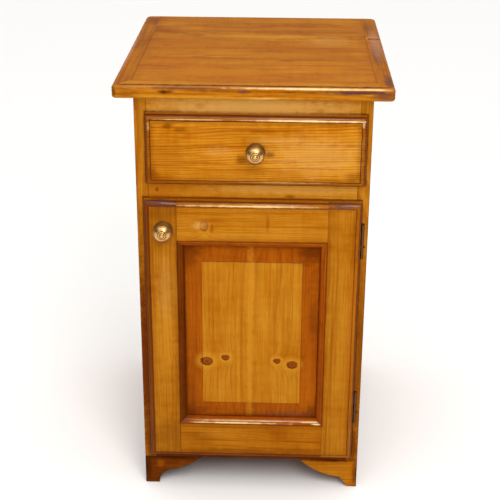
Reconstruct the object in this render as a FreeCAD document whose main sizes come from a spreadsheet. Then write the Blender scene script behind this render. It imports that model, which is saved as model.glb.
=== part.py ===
"""Pine cabinet with one drawer over one panelled door, on bracket feet.

Frame: +Z up, +X to the right as seen from the front, -Y out of the front.
The origin is on the floor, under the middle of the whole object's box.  Millimetres.
"""
import FreeCAD
import Part
import Sketcher
import math
import os
import re

Vector = FreeCAD.Vector
Rotation = FreeCAD.Rotation
NEAR = 0.001

doc = FreeCAD.newDocument("PanelDoorCabinet")
sheet = doc.addObject("Spreadsheet::Sheet", "Sizes")

SIZES = [
    # name, millimetres, what it is
    ("carcass_width", 420, "outside of one side board to outside of the other"),
    ("carcass_depth", 525, "front edge of the sides to the back of the back boards"),
    ("carcass_top", 801, "height of the top edge of the sides"),
    ("side_thick", 22, "side boards, rails, feet brackets"),
    ("foot_height", 61, "floor to the underside of the carcass"),
    ("floor_thick", 22, "cupboard floor"),
    ("top_thick", 23, "table top"),
    ("top_over_side", 34.5, "top beyond each side board"),
    ("top_over_front", 25, "top beyond the front edge of the sides"),
    ("top_over_back", 12, "top beyond the back boards"),
    ("top_edge_round", 5, "rounding of the top's upper and lower edges"),
    ("top_corner_front", 8, "rounding of the top's front corners in plan"),
    ("top_corner_back", 15, "rounding of the top's back corners in plan"),
    ("lipping_side", 31, "width of the mitred lipping at each side of the top"),
    ("lipping_front", 38, "width of the mitred lipping along the front of the top"),
    ("top_joint_one", 173, "first glue joint of the top, behind the carcass front"),
    ("top_joint_two", 251, "second glue joint of the top"),
    ("top_joint_three", 394, "third glue joint of the top"),
    ("rail_drop", 38, "height of the top rails"),
    ("divider_low", 602, "underside of the rail between drawer and door"),
    ("divider_high", 647, "upper side of that rail, where the drawer slides"),
    ("tenon_long", 10, "length of the stub tenons on rails, divider and floor"),
    ("tenon_inset", 6, "shoulder round each stub tenon"),
    ("rebate_wide", 11, "rebate in the sides that takes the back boards"),
    ("back_thick", 10, "back boards"),
    ("back_board_count", 4, "back boards side by side"),
    ("tongue_long", 5, "tongue between back boards"),
    ("tongue_thick", 4, "thickness of that tongue"),
    ("shelf_low", 330, "underside of the shelf"),
    ("shelf_thick", 18, "shelf"),
    ("shelf_set_back", 60, "shelf front behind the carcass front"),
    ("shelf_slack", 0.5, "gap between shelf and sides"),
    ("batten", 18, "section of the shelf battens"),
    ("runner_wide", 28, "drawer runners"),
    ("runner_high", 20, "drawer runners and kickers"),
    ("kicker_wide", 22, "drawer kickers"),
    ("front_gap", 0.5, "air between the carcass and the closed drawer and door"),
    ("front_thick", 19, "drawer front and door frame"),
    ("bead_wide", 9.5, "moulded edge round the drawer front and the door"),
    ("bead_step", 1.2, "step from the flat face down to the moulded edge"),
    ("bead_round", 9, "radius of the moulded edge"),
    ("drawer_left", -190, "left edge of the drawer front"),
    ("drawer_right", 200, "right edge of the drawer front"),
    ("drawer_low", 641, "lower edge of the drawer front"),
    ("drawer_high", 770.5, "upper edge of the drawer front"),
    ("box_slack", 1.5, "air at each side of the drawer box"),
    ("box_lift", 0.5, "air under the drawer box"),
    ("box_high", 109.5, "height of the drawer box sides"),
    ("box_deep", 470, "length of the drawer box"),
    ("box_wood", 12, "thickness of the drawer box sides, front and back"),
    ("bottom_thick", 6, "drawer bottom"),
    ("bottom_lift", 8, "drawer bottom above the lower edge of the drawer sides"),
    ("groove_deep", 6, "groove that holds the drawer bottom"),
    ("back_drop", 7, "drawer back lower than the drawer sides"),
    ("front_screw_in", 55, "screws that hold the drawer front, in from the box's sides"),
    ("front_screw_head", 3.8, "radius of those screws' heads"),
    ("front_screw_head_high", 1.8, "height of those heads"),
    ("front_screw_shank", 1.8, "radius of those screws' shanks"),
    ("front_screw_bite", 12, "length of those screws in the drawer front"),
    ("pin_narrow", 9, "dovetail pin at the end of the drawer side"),
    ("pin_wide", 13, "dovetail pin at the shoulder line"),
    ("door_half", 196.5, "half the width of the door"),
    ("door_low", 74.5, "lower edge of the door"),
    ("door_high", 610, "upper edge of the door"),
    ("sight_half", 136.5, "half the width of the opening in the door frame"),
    ("sight_low", 150.5, "lower edge of that opening"),
    ("sight_high", 533.5, "upper edge of that opening"),
    ("door_tenon_long", 32, "tenons of the door rails"),
    ("door_tenon_thick", 7, "thickness of those tenons"),
    ("door_tenon_cheek", 4.5, "wood of the moulded edge in front of those tenons"),
    ("door_tenon_shoulder", 12, "shoulder at each edge of those tenons"),
    ("moulding_wide", 11, "mitred moulding strip inside the door frame"),
    ("moulding_deep", 11.5, "depth of that strip"),
    ("moulding_round", 9, "radius of the strip's inner edge"),
    ("panel_rebate", 7, "rebate in the back of the door frame that takes the panel"),
    ("panel_slack", 0.5, "air round the panel's edge in that rebate"),
    ("panel_edge", 6.5, "thickness of the panel's thin edge"),
    ("bevel_wide", 32.5, "sloping border of the raised panel"),
    ("bevel_rise", 2.5, "height that the border slopes up"),
    ("field_step", 1, "step at the edge of the panel's raised field"),
    ("knob_reach", 30, "knob from the wood to its tip"),
    ("knob_flange", 17.5, "radius of the knob's base flange"),
    ("knob_neck", 7, "radius of the knob's neck"),
    ("knob_head", 16.25, "radius of the knob's head"),
    ("knob_boss", 4.75, "radius of the ring in the middle of the knob"),
    ("flange_edge", 1.2, "square part of the flange's edge"),
    ("flange_round", 1.3, "radius of the flange's edge"),
    ("neck_foot", 3, "spread of the neck's foot on the flange"),
    ("neck_foot_high", 4.2, "knob, from the wood: neck's foot"),
    ("neck_low", 8.2, "knob, from the wood: start of the hollow neck"),
    ("neck_high", 11.5, "knob, from the wood: start of the head's flare"),
    ("neck_foot_round", 4.5, "radius of the neck's foot"),
    ("flare_round", 9, "radius of the head's flare"),
    ("head_low", 18.2, "knob, from the wood: underside of the rim"),
    ("rim_low", 18.8, "knob, from the wood: lower edge of the rim"),
    ("rim_high", 21.8, "knob, from the wood: upper edge of the rim"),
    ("rim_in", 1.1, "rim's edges, in from the head's radius"),
    ("rim_round", 1.6, "radius of the rim"),
    ("rim_under", 3.2, "flare's end, in from the head's radius"),
    ("rim_lip", 1.3, "flat lip between rim and dome"),
    ("dome_round", 19, "radius of the domed face"),
    ("dome_low", 22.2, "knob, from the wood: edge of the dome"),
    ("dome_high", 28.2, "knob, from the wood: dome at the middle ring"),
    ("boss_foot", 0.6, "gap between dome and middle ring"),
    ("boss_round", 1, "radius of the middle ring's edge"),
    ("boss_edge", 0.9, "width of that rounding"),
    ("dimple_in", 1.5, "dimple's edge, in from the middle ring"),
    ("dimple_round", 4.2, "radius of the dimple"),
    ("dimple_flat", 0.6, "radius of the flat at the dimple's bottom"),
    ("dimple_deep", 1, "depth of the dimple"),
    ("drawer_knob_x", 5, "drawer knob, across"),
    ("drawer_knob_z", 705, "drawer knob, height"),
    ("door_knob_x", -161, "door knob, across"),
    ("door_knob_z", 555, "door knob, height"),
    ("bolt_radius", 2, "knob bolts"),
    ("bolt_air", 0.05, "air round a bolt in the knob's own hole"),
    ("bolt_way", 2.6, "radius of the hole for a knob bolt in wood"),
    ("bolt_head", 4.5, "radius of a knob bolt's head"),
    ("bolt_head_high", 2.6, "height of a knob bolt's head"),
    ("bolt_bite", 9, "length of bolt inside a knob"),
    ("bolt_end_air", 1, "air beyond a bolt's end in its knob"),
    ("hinge_pin_x", 200, "hinge pins, across"),
    ("hinge_pin_out", 0.25, "hinge pins in front of the carcass front"),
    ("hinge_long", 66, "length of a hinge"),
    ("hinge_upper_low", 498.5, "lower end of the upper hinge"),
    ("hinge_lower_low", 150, "lower end of the lower hinge"),
    ("knuckle_radius", 3, "hinge knuckles"),
    ("knuckle_count", 5, "knuckles in a hinge"),
    ("knuckle_air", 0.4, "air between two knuckles"),
    ("pin_radius", 1.5, "hinge pins"),
    ("pin_air", 0.05, "air round a hinge pin"),
    ("pin_tip", 2.2, "radius of a hinge pin's rounded tips"),
    ("tip_high", 1.5, "height of those tips"),
    ("leaf_thick", 1.5, "hinge leaves"),
    ("leaf_edge_x", 196.5, "edge of the hinge leaves next to the knuckles"),
    ("frame_leaf_x", 189, "far edge of the leaf on the side board"),
    ("door_leaf_x", 186, "far edge of the leaf on the door"),
    ("knuckle_way", 3.5, "radius of the scallop for the knuckles in the side board"),
    ("scallop_over", 2, "scallop beyond each end of a hinge"),
    ("screw_head", 2.6, "radius of a hinge screw's head"),
    ("screw_shank", 1.3, "radius of a hinge screw's shank"),
    ("screw_long", 14, "length of a hinge screw"),
    ("catch_low", 480, "lower end of the magnetic catch"),
    ("catch_long", 46, "height of the magnetic catch"),
    ("catch_wide", 15, "width of the magnetic catch"),
    ("catch_deep", 20, "depth of the magnetic catch"),
    ("strike_thick", 1.2, "strike plate on the door"),
    ("strike_side", 1, "strike plate in from each side of the catch"),
    ("strike_end", 4, "strike plate in from each end of the catch"),
    ("catch_gap", 0.4, "air between strike plate and catch"),
    ("foot_long", 113.5, "length of a bracket foot along the front"),
    ("toe_left", 27, "width of the left foot at the floor"),
    ("toe_right", 14.8, "width of the right foot at the floor"),
    ("cusp_left", 50, "left foot: corner of the outline, in from the end"),
    ("cusp_right", 33.2, "right foot: corner of the outline, in from the end"),
    ("cusp_left_high", 31, "left foot: height of that corner"),
    ("cusp_right_high", 22, "right foot: height of that corner"),
    ("cove_radius", 30, "left foot: hollow between toe and corner"),
    ("toe_round", 9.5, "right foot: rounding of the toe"),
    ("turn_right", 22.3, "right foot: end of that rounding, in from the end"),
    ("turn_right_high", 4.9, "right foot: height of that end"),
    ("belly_radius", 130, "bulging part of a foot's outline"),
    ("block", 26, "section of the glue blocks behind the feet"),
    ("block_high", 30, "height of the glue blocks"),
    ("top_screw_x", 120, "screws that hold the top, across"),
    ("top_screw_radius", 2, "those screws' shank"),
    ("top_screw_head", 4, "those screws' head"),
    ("top_screw_well", 5, "radius of the wells that their heads are let into"),
    ("top_screw_bite", 14, "length of those screws in the top"),
    ("top_screw_sunk", 14, "depth that their heads are let into the rails"),
]

WORDS = set()
for line, (word, number, meaning) in enumerate(SIZES, start=1):
    sheet.set(f"A{line}", word)
    sheet.set(f"B{line}", str(number))
    sheet.set(f"C{line}", meaning)
    sheet.setAlias(f"B{line}", word)
    WORDS.add(word)
doc.recompute()

nodes = []


# ---- drawing helpers --------------------------------------------------------------------------
def formula(text):
    """Turns the sheet's own words in a sum into references to its cells."""
    return re.sub(r"[a-z_]+", lambda found: "Sizes." + found.group() if found.group() in WORDS
                  else found.group(), text)


def value(text):
    """Works a sum out, for the first guess at a sketch's geometry."""
    return float(sheet.evalExpression(formula(text)))


def bind(item, prop, text):
    item.setExpression(prop, formula(text))


def place(item, x, y, z, turn=None):
    """Puts an object at a point given by three sums, after an optional turn."""
    if turn is not None:
        item.Placement = FreeCAD.Placement(Vector(0, 0, 0), turn)
    for axis, text in zip("xyz", (x, y, z)):
        bind(item, f"Placement.Base.{axis}", text)
    return item


def node(item, label):
    """Names a finished piece, which is then written out under that name."""
    item.Label = label
    nodes.append(item)
    return item


def box(name, low, high):
    """A block between two corners, each given as three sums."""
    item = doc.addObject("Part::Box", name)
    for prop, start, end in zip(("Length", "Width", "Height"), low, high):
        bind(item, prop, f"({end}) - ({start})")
    return place(item, *low)


def rod(name, foot, direction, radius, length):
    """A round rod from a point, along +X, -Y, +Y or +Z."""
    turns = {"+Z": Rotation(), "+X": Rotation(Vector(0, 1, 0), 90),
             "+Y": Rotation(Vector(1, 0, 0), -90), "-Y": Rotation(Vector(1, 0, 0), 90)}
    item = doc.addObject("Part::Cylinder", name)
    bind(item, "Radius", radius)
    bind(item, "Height", length)
    return place(item, *foot, turns[direction])


def fuse(name, *items):
    item = doc.addObject("Part::MultiFuse", name)
    item.Shapes = list(items)
    item.Refine = True
    return item


def group(name, *items):
    """Separate solids kept together as one piece, such as a set of screws."""
    item = doc.addObject("Part::Compound", name)
    item.Links = list(items)
    return item


def cut(name, base, *tools):
    item = doc.addObject("Part::Cut", name)
    item.Base = base
    item.Tool = tools[0] if len(tools) == 1 else fuse(name + "_tools", *tools)
    return item


def common(name, base, tool):
    item = doc.addObject("Part::Common", name)
    item.Base = base
    item.Tool = tool
    return item


def outline(name, points):
    """A closed, fully constrained sketch.

    Each point is (x, y), or (x, y, radius, side) where the stretch after it is an arc:
    side is 1 with the arc's centre on the left of the way to the next point, -1 on the right.
    """
    sketch = doc.addObject("Sketcher::SketchObject", name)
    spots = [Vector(value(point[0]), value(point[1]), 0) for point in points]
    ends = []
    for index, point in enumerate(points):
        here, there = spots[index], spots[(index + 1) % len(points)]
        if len(point) == 2:
            sketch.addGeometry(Part.LineSegment(here, there), False)
            ends.append((1, 2))
            continue
        radius, side = value(point[2]), point[3]
        half = (there - here) * 0.5
        away = math.sqrt(radius ** 2 - half.Length ** 2)
        left = Vector(-half.y, half.x, 0).normalize()
        centre = here + half + left * (side * away)
        first, last = (here, there) if side > 0 else (there, here)
        angles = [math.atan2(spot.y - centre.y, spot.x - centre.x) for spot in (first, last)]
        circle = Part.Circle(centre, Vector(0, 0, 1), radius)
        sketch.addGeometry(Part.ArcOfCircle(circle, angles[0], angles[1]), False)
        ends.append((1, 2) if side > 0 else (2, 1))
    for index, point in enumerate(points):
        following = (index + 1) % len(points)
        sketch.addConstraint(Sketcher.Constraint("Coincident", index, ends[index][1],
                                                 following, ends[following][0]))
        for kind, text, axis in (("DistanceX", point[0], -2), ("DistanceY", point[1], -1)):
            if text == "0":
                sketch.addConstraint(Sketcher.Constraint("PointOnObject", index,
                                                         ends[index][0], axis))
                continue
            row = sketch.addConstraint(Sketcher.Constraint(kind, -1, 1, index, ends[index][0],
                                                           value(text)))
            bind(sketch, f"Constraints[{row}]", text)
        if len(point) > 2:
            row = sketch.addConstraint(Sketcher.Constraint("Radius", index, value(point[2])))
            bind(sketch, f"Constraints[{row}]", point[2])
    return sketch


def slab(name, plane, points, low, high):
    """An outline drawn in a plane and given thickness between two places on its normal."""
    turns = {"XY": Rotation(), "XZ": Rotation(Vector(1, 0, 0), 90),
             "YZ": Rotation(Vector(1, 1, 1), 120)}
    start = {"XY": ("0", "0", low), "XZ": ("0", high, "0"), "YZ": (low, "0", "0")}[plane]
    sketch = place(outline(name + "_outline", points), *start, turns[plane])
    item = doc.addObject("Part::Extrusion", name)
    item.Base = sketch
    item.DirMode = "Normal"
    item.Solid = True
    bind(item, "LengthFwd", f"({high}) - ({low})")
    return item


def rounded(name, base, radius, chosen):
    """Rounds the edges of a block that a test picks out."""
    doc.recompute()
    picked = [number for number, edge in enumerate(base.Shape.Edges, start=1) if chosen(edge)]
    item = doc.addObject("Part::Fillet", name)
    item.Base = base
    item.Edges = [(number, value(radius), value(radius)) for number in picked]
    return item


def runs_along(edge, axis):
    """True where an edge is straight and lies along the given axis."""
    if not isinstance(edge.Curve, Part.Line):
        return False
    return abs(edge.Curve.Direction.dot(axis)) > 1 - NEAR


# ---- the main planes, as sums of the sheet's sizes ----------------------------------------------
OUT = "(front_gap + front_thick + knob_reach)"
FRONT = f"(({OUT} - carcass_depth - top_over_back) / 2)"
BACK = f"({FRONT} + carcass_depth)"
BACK_BOARDS = f"({BACK} - back_thick)"
HALF = "(carcass_width / 2)"
INNER = "(carcass_width / 2 - side_thick)"
RAIL_BACK = f"({FRONT} + side_thick)"
RAIL_LOW = "(carcass_top - rail_drop)"
FLOOR_TOP = "(foot_height + floor_thick)"
FACE_BACK = f"({FRONT} - front_gap)"
FACE = f"({FACE_BACK} - front_thick)"
FACE_STEP = f"({FACE} + bead_step)"
SIDES = (("left", -1), ("right", 1))


def across(sign, near, far):
    """Two sums for x, lowest first, on the left (sign -1) or the right (sign 1)."""
    return (f"-({far})", f"-({near})") if sign < 0 else (near, far)


# ---- rails, divider and cupboard floor, each with stub tenons -----------------------------------
def tenoned(label, y_low, y_high, z_low, z_high):
    """A board between the sides, and the tenon blocks that its mortises are cut with."""
    board = box(label + "_board", (f"-{INNER}", y_low, z_low), (INNER, y_high, z_high))
    tenon = box(label + "_tenon",
                (f"-{INNER} - tenon_long", f"{y_low} + tenon_inset", f"{z_low} + tenon_inset"),
                (f"{INNER} + tenon_long", f"{y_high} - tenon_inset", f"{z_high} - tenon_inset"))
    return fuse(label + "_body", board, tenon), tenon


rail_front, rail_front_tenon = tenoned("top_front_rail", FRONT, RAIL_BACK, RAIL_LOW, "carcass_top")
rail_back, rail_back_tenon = tenoned("top_back_rail", f"{BACK_BOARDS} - side_thick", BACK_BOARDS,
                                     RAIL_LOW, "carcass_top")
divider, divider_tenon = tenoned("drawer_divider", FRONT, RAIL_BACK, "divider_low", "divider_high")
floor, floor_tenon = tenoned("cupboard_floor", FRONT, BACK_BOARDS, "foot_height", FLOOR_TOP)
node(divider, "drawer_divider")
node(floor, "cupboard_floor")

# The top is held by two screws through each top rail, their heads sunk into the rails' undersides.
top_screws = []
for rail_name, rail, rail_y in (("front", rail_front, f"({FRONT} + side_thick / 2)"),
                                ("back", rail_back, f"({BACK_BOARDS} - side_thick / 2)")):
    ways = []
    for side, sign in SIDES:
        tag = f"top_screw_{rail_name}_{side}"
        spot = (f"{sign} * top_screw_x", rail_y, f"{RAIL_LOW} + top_screw_sunk")
        shank = rod(tag + "_shank", spot, "+Z", "top_screw_radius",
                    "rail_drop - top_screw_sunk + top_screw_bite")
        head = doc.addObject("Part::Cone", tag + "_head")
        for prop, text in (("Radius1", "top_screw_head"), ("Radius2", "top_screw_radius"),
                           ("Height", "top_screw_head - top_screw_radius")):
            bind(head, prop, text)
        place(head, *spot)
        top_screws.append(fuse(tag, shank, head))
        ways.append(rod(tag + "_well", (spot[0], rail_y, RAIL_LOW), "+Z",
                        "top_screw_well", "top_screw_sunk"))
    label = f"top_{rail_name}_rail"
    node(cut(label + "_bored", rail, *ways), label)
node(group("top_screw_group", *top_screws), "top_fixing_screws")


# ---- butt hinges ---------------------------------------------------------------------------------
PIN_Y = f"({FRONT} - hinge_pin_out)"
KNUCKLE = "(hinge_long / knuckle_count)"
FRAME_LEAF = (FRONT, f"{FRONT} + leaf_thick")
DOOR_LEAF = (f"{FACE_BACK} - leaf_thick", FACE_BACK)
HINGES = (("upper", "hinge_upper_low"), ("lower", "hinge_lower_low"))
SCREW_PLACES = (0.16, 0.5, 0.84)


def leaf(label, far_x, span_y, low, knuckles):
    """One leaf of a hinge, with its share of the knuckles, bored for the pin."""
    plate = box(label + "_plate", (far_x, span_y[0], low),
                ("leaf_edge_x", span_y[1], f"{low} + hinge_long"))
    parts = [plate]
    for number in knuckles:
        start = f"{low} + {number} * {KNUCKLE} + knuckle_air / 2"
        end = f"{low} + {number + 1} * {KNUCKLE} - knuckle_air / 2"
        parts.append(box(f"{label}_web_{number}", ("leaf_edge_x", span_y[0], start),
                         ("hinge_pin_x", span_y[1], end)))
        parts.append(rod(f"{label}_knuckle_{number}", ("hinge_pin_x", PIN_Y, start), "+Z",
                         "knuckle_radius", f"{KNUCKLE} - knuckle_air"))
    bore = rod(label + "_bore", ("hinge_pin_x", PIN_Y, low), "+Z", "pin_radius + pin_air",
               "hinge_long")
    return cut(label + "_bored", fuse(label + "_solid", *parts), bore)


def hinge_screws(label, x, y, direction, low):
    """Three countersunk screws through one leaf."""
    sign = 1 if direction == "+Y" else -1
    turn = Rotation(Vector(1, 0, 0), -90 * sign)
    screws = []
    for number, share in enumerate(SCREW_PLACES):
        spot = (x, y, f"{low} + {share} * hinge_long")
        head = doc.addObject("Part::Cone", f"{label}_head_{number}")
        for prop, text in (("Radius1", "screw_head"), ("Radius2", "screw_shank"),
                           ("Height", "screw_head - screw_shank")):
            bind(head, prop, text)
        place(head, *spot, turn)
        shank = rod(f"{label}_shank_{number}", spot, direction, "screw_shank", "screw_long")
        screws.append(fuse(f"{label}_{number}", head, shank))
    return screws


frame_screws, door_screws, pins = [], [], []
for which, low in HINGES:
    own = hinge_screws(f"frame_screw_{which}", "(frame_leaf_x + leaf_edge_x) / 2", FRONT, "+Y", low)
    plate = leaf(f"frame_leaf_{which}", "frame_leaf_x", FRAME_LEAF, low, (0, 2, 4))
    node(cut(f"frame_leaf_{which}_holed", plate, *own), f"hinge_{which}_frame_leaf")
    frame_screws += own
    own = hinge_screws(f"door_screw_{which}", "(door_leaf_x + leaf_edge_x) / 2", FACE_BACK, "-Y",
                       low)
    plate = leaf(f"door_leaf_{which}", "door_leaf_x", DOOR_LEAF, low, (1, 3))
    node(cut(f"door_leaf_{which}_holed", plate, *own), f"hinge_{which}_door_leaf")
    door_screws += own
    shaft = rod(f"pin_{which}_shaft", ("hinge_pin_x", PIN_Y, low), "+Z", "pin_radius",
                "hinge_long")
    tips = [rod(f"pin_{which}_tip_{end}", ("hinge_pin_x", PIN_Y, start), "+Z", "pin_tip", "tip_high")
            for end, start in (("low", f"{low} - tip_high"), ("high", f"{low} + hinge_long"))]
    pins.append(fuse(f"pin_{which}", shaft, *tips))
node(group("pin_group", *pins), "hinge_pins")
node(group("frame_screw_group", *frame_screws), "hinge_frame_screws")
node(group("door_screw_group", *door_screws), "hinge_door_screws")


# ---- side boards ---------------------------------------------------------------------------------
for side, sign in SIDES:
    blank = box(f"side_{side}_board", (across(sign, INNER, HALF)[0], FRONT, "foot_height"),
                (across(sign, INNER, HALF)[1], BACK, "carcass_top"))
    rebate_x = across(sign, INNER, f"{INNER} + rebate_wide")
    tools = [rail_front_tenon, rail_back_tenon, divider_tenon, floor_tenon,
             box(f"side_{side}_rebate", (rebate_x[0], BACK_BOARDS, "foot_height"),
                 (rebate_x[1], BACK, "carcass_top"))]
    if side == "right":
        for which, low in HINGES:
            tools.append(box(f"leaf_seat_{which}", ("frame_leaf_x", FRONT, low),
                             ("hinge_pin_x", f"{FRONT} + leaf_thick", f"{low} + hinge_long")))
            tools.append(rod(f"knuckle_scallop_{which}",
                             ("hinge_pin_x", PIN_Y, f"{low} - scallop_over"), "+Z",
                             "knuckle_way", "hinge_long + 2 * scallop_over"))
    node(cut(f"side_{side}_worked", blank, *tools), f"side_{side}")


# ---- back boards, tongued and grooved --------------------------------------------------------------
BOARD = f"(2 * ({INNER} + rebate_wide) / back_board_count)"
TONGUE_Y = (f"{BACK_BOARDS} + (back_thick - tongue_thick) / 2",
            f"{BACK_BOARDS} + (back_thick + tongue_thick) / 2")
boards = []
board_count = int(value("back_board_count"))
tongues = []
for number in range(board_count):
    x_low = f"-{INNER} - rebate_wide + {number} * {BOARD}"
    x_high = f"-{INNER} - rebate_wide + {number + 1} * {BOARD}"
    plain = box(f"back_board_{number}_plain", (x_low, BACK_BOARDS, "foot_height"),
                (x_high, BACK, "carcass_top"))
    grooved = cut(f"back_board_{number}_grooved", plain, tongues[-1]) if tongues else plain
    if number < board_count - 1:
        tongue = box(f"back_tongue_{number}", (x_high, TONGUE_Y[0], "foot_height"),
                     (f"{x_high} + tongue_long", TONGUE_Y[1], "carcass_top"))
        tongues.append(tongue)
        grooved = fuse(f"back_board_{number}_tongued", grooved, tongue)
    boards.append(grooved)
node(group("back_board_group", *boards), "back_boards")


# ---- shelf, battens, drawer runners and kickers ------------------------------------------------
node(box("shelf_board", (f"-{INNER} + shelf_slack", f"{FRONT} + shelf_set_back", "shelf_low"),
         (f"{INNER} - shelf_slack", BACK_BOARDS, "shelf_low + shelf_thick")), "shelf")
for side, sign in SIDES:
    for label, wide, y_low, y_high, z_low, z_high in (
            ("shelf_batten", "batten", f"{FRONT} + shelf_set_back", BACK_BOARDS,
             "shelf_low - batten", "shelf_low"),
            ("drawer_runner", "runner_wide", RAIL_BACK, BACK_BOARDS,
             "divider_high - runner_high", "divider_high"),
            ("drawer_kicker", "kicker_wide", RAIL_BACK, f"{BACK_BOARDS} - side_thick",
             RAIL_LOW, f"{RAIL_LOW} + runner_high")):
        x_low, x_high = across(sign, f"{INNER} - {wide}", INNER)
        node(box(f"{label}_{side}_strip", (x_low, y_low, z_low), (x_high, y_high, z_high)),
             f"{label}_{side}")


# ---- top: one rounded slab, divided into four boards and three mitred lippings ------------------
TOP_HALF = f"({HALF} + top_over_side)"
TOP_FRONT = f"({FRONT} - top_over_front)"
TOP_BACK = f"({BACK} + top_over_back)"
TOP_HIGH = "(carcass_top + top_thick)"
LIP_X = f"({TOP_HALF} - lipping_side)"
LIP_Y = f"({TOP_FRONT} + lipping_front)"

top_blank = box("top_blank", (f"-{TOP_HALF}", TOP_FRONT, "carcass_top"),
                (TOP_HALF, TOP_BACK, TOP_HIGH))
UP = Vector(0, 0, 1)
top_front_rounded = rounded("top_front_rounded", top_blank, "top_corner_front",
                            lambda edge: runs_along(edge, UP) and edge.CenterOfMass.y < 0)
top_back_rounded = rounded("top_back_rounded", top_front_rounded, "top_corner_back",
                           lambda edge: runs_along(edge, UP)
                           and edge.CenterOfMass.y > value(BACK))
top_slab = rounded("top_slab", top_back_rounded, "top_edge_round",
                   lambda edge: edge.BoundBox.ZLength < NEAR)

for label, y_low, y_high in (("top_board_front", LIP_Y, f"{FRONT} + top_joint_one"),
                             ("top_board_middle", f"{FRONT} + top_joint_one",
                              f"{FRONT} + top_joint_two"),
                             ("top_board_rear", f"{FRONT} + top_joint_two",
                              f"{FRONT} + top_joint_three"),
                             ("top_board_back", f"{FRONT} + top_joint_three", TOP_BACK)):
    part = box(label + "_space", (f"-{LIP_X}", y_low, "carcass_top"), (LIP_X, y_high, TOP_HIGH))
    node(common(label + "_shape", top_slab, part), label)
for side, sign in SIDES:
    part = slab(f"top_lipping_{side}_space", "XY",
                [(f"{sign} * {TOP_HALF}", TOP_FRONT), (f"{sign} * {TOP_HALF}", TOP_BACK),
                 (f"{sign} * {LIP_X}", TOP_BACK), (f"{sign} * {LIP_X}", LIP_Y)],
                "carcass_top", TOP_HIGH)
    node(common(f"top_lipping_{side}_shape", top_slab, part), f"top_lipping_{side}")
part = slab("top_lipping_front_space", "XY",
            [(f"-{TOP_HALF}", TOP_FRONT), (TOP_HALF, TOP_FRONT), (LIP_X, LIP_Y),
             (f"-{LIP_X}", LIP_Y)], "carcass_top", TOP_HIGH)
node(common("top_lipping_front_shape", top_slab, part), "top_lipping_front")


# ---- bracket feet -------------------------------------------------------------------------------
def foot_outline(start, inward, length, side):
    """A bracket foot's outline: toe, corner, bulging belly and straight top.

    A left foot is hollow between toe and corner, and a right foot is straight there, with a
    rounded toe.  start is the foot's outer end and inward (1 or -1) the way that its outline
    runs from there.
    """
    def at(distance):
        return f"{start} + {inward} * ({distance})"
    toes = {"left": [(at("toe_left"), "0", "cove_radius", -inward)],
            "right": [(at("toe_right"), "0", "toe_round", inward),
                      (at("turn_right"), "turn_right_high")]}
    return [(at("0"), "foot_height"), (at("0"), "0"), *toes[side],
            (at(f"cusp_{side}"), f"cusp_{side}_high", "belly_radius", inward),
            (at(length), "foot_height")]


for side, sign in SIDES:
    edge_x = f"{sign} * {HALF}"
    inner_x = f"{sign} * {INNER}"
    span = across(sign, INNER, HALF)
    shorter = "foot_long - side_thick"
    node(slab(f"foot_front_{side}_bracket", "XZ", foot_outline(edge_x, -sign, "foot_long", side),
              FRONT, RAIL_BACK), f"foot_front_{side}")
    node(slab(f"foot_back_{side}_bracket", "XZ", foot_outline(edge_x, -sign, "foot_long", side),
              f"{BACK} - side_thick", BACK), f"foot_back_{side}")
    node(slab(f"foot_side_front_{side}_bracket", "YZ",
              foot_outline(RAIL_BACK, 1, shorter, side), *span), f"foot_side_front_{side}")
    node(slab(f"foot_side_back_{side}_bracket", "YZ",
              foot_outline(f"{BACK} - side_thick", -1, shorter, side), *span),
         f"foot_side_back_{side}")

blocks = []
for side, sign in SIDES:
    for end, y_low in (("front", RAIL_BACK), ("back", f"{BACK} - side_thick - block")):
        x_low, x_high = across(sign, f"{INNER} - block", INNER)
        blocks.append(box(f"block_{end}_{side}", (x_low, y_low, "foot_height - block_high"),
                          (x_high, f"{y_low} + block", "foot_height")))
node(group("foot_block_group", *blocks), "foot_glue_blocks")


# ---- magnetic catch, on the left side board, and its strike on the door --------------------------
CATCH_Y = f"({FACE_BACK} + strike_thick + catch_gap)"
catch = box("catch_block", (f"-{INNER}", CATCH_Y, "catch_low"),
            (f"-{INNER} + catch_wide", f"{CATCH_Y} + catch_deep", "catch_low + catch_long"))
node(catch, "catch_body")
node(box("strike_plate", (f"-{INNER} + strike_side", FACE_BACK, "catch_low + strike_end"),
         (f"-{INNER} + catch_wide - strike_side", f"{FACE_BACK} + strike_thick",
          "catch_low + catch_long - strike_end")), "catch_strike")


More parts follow.
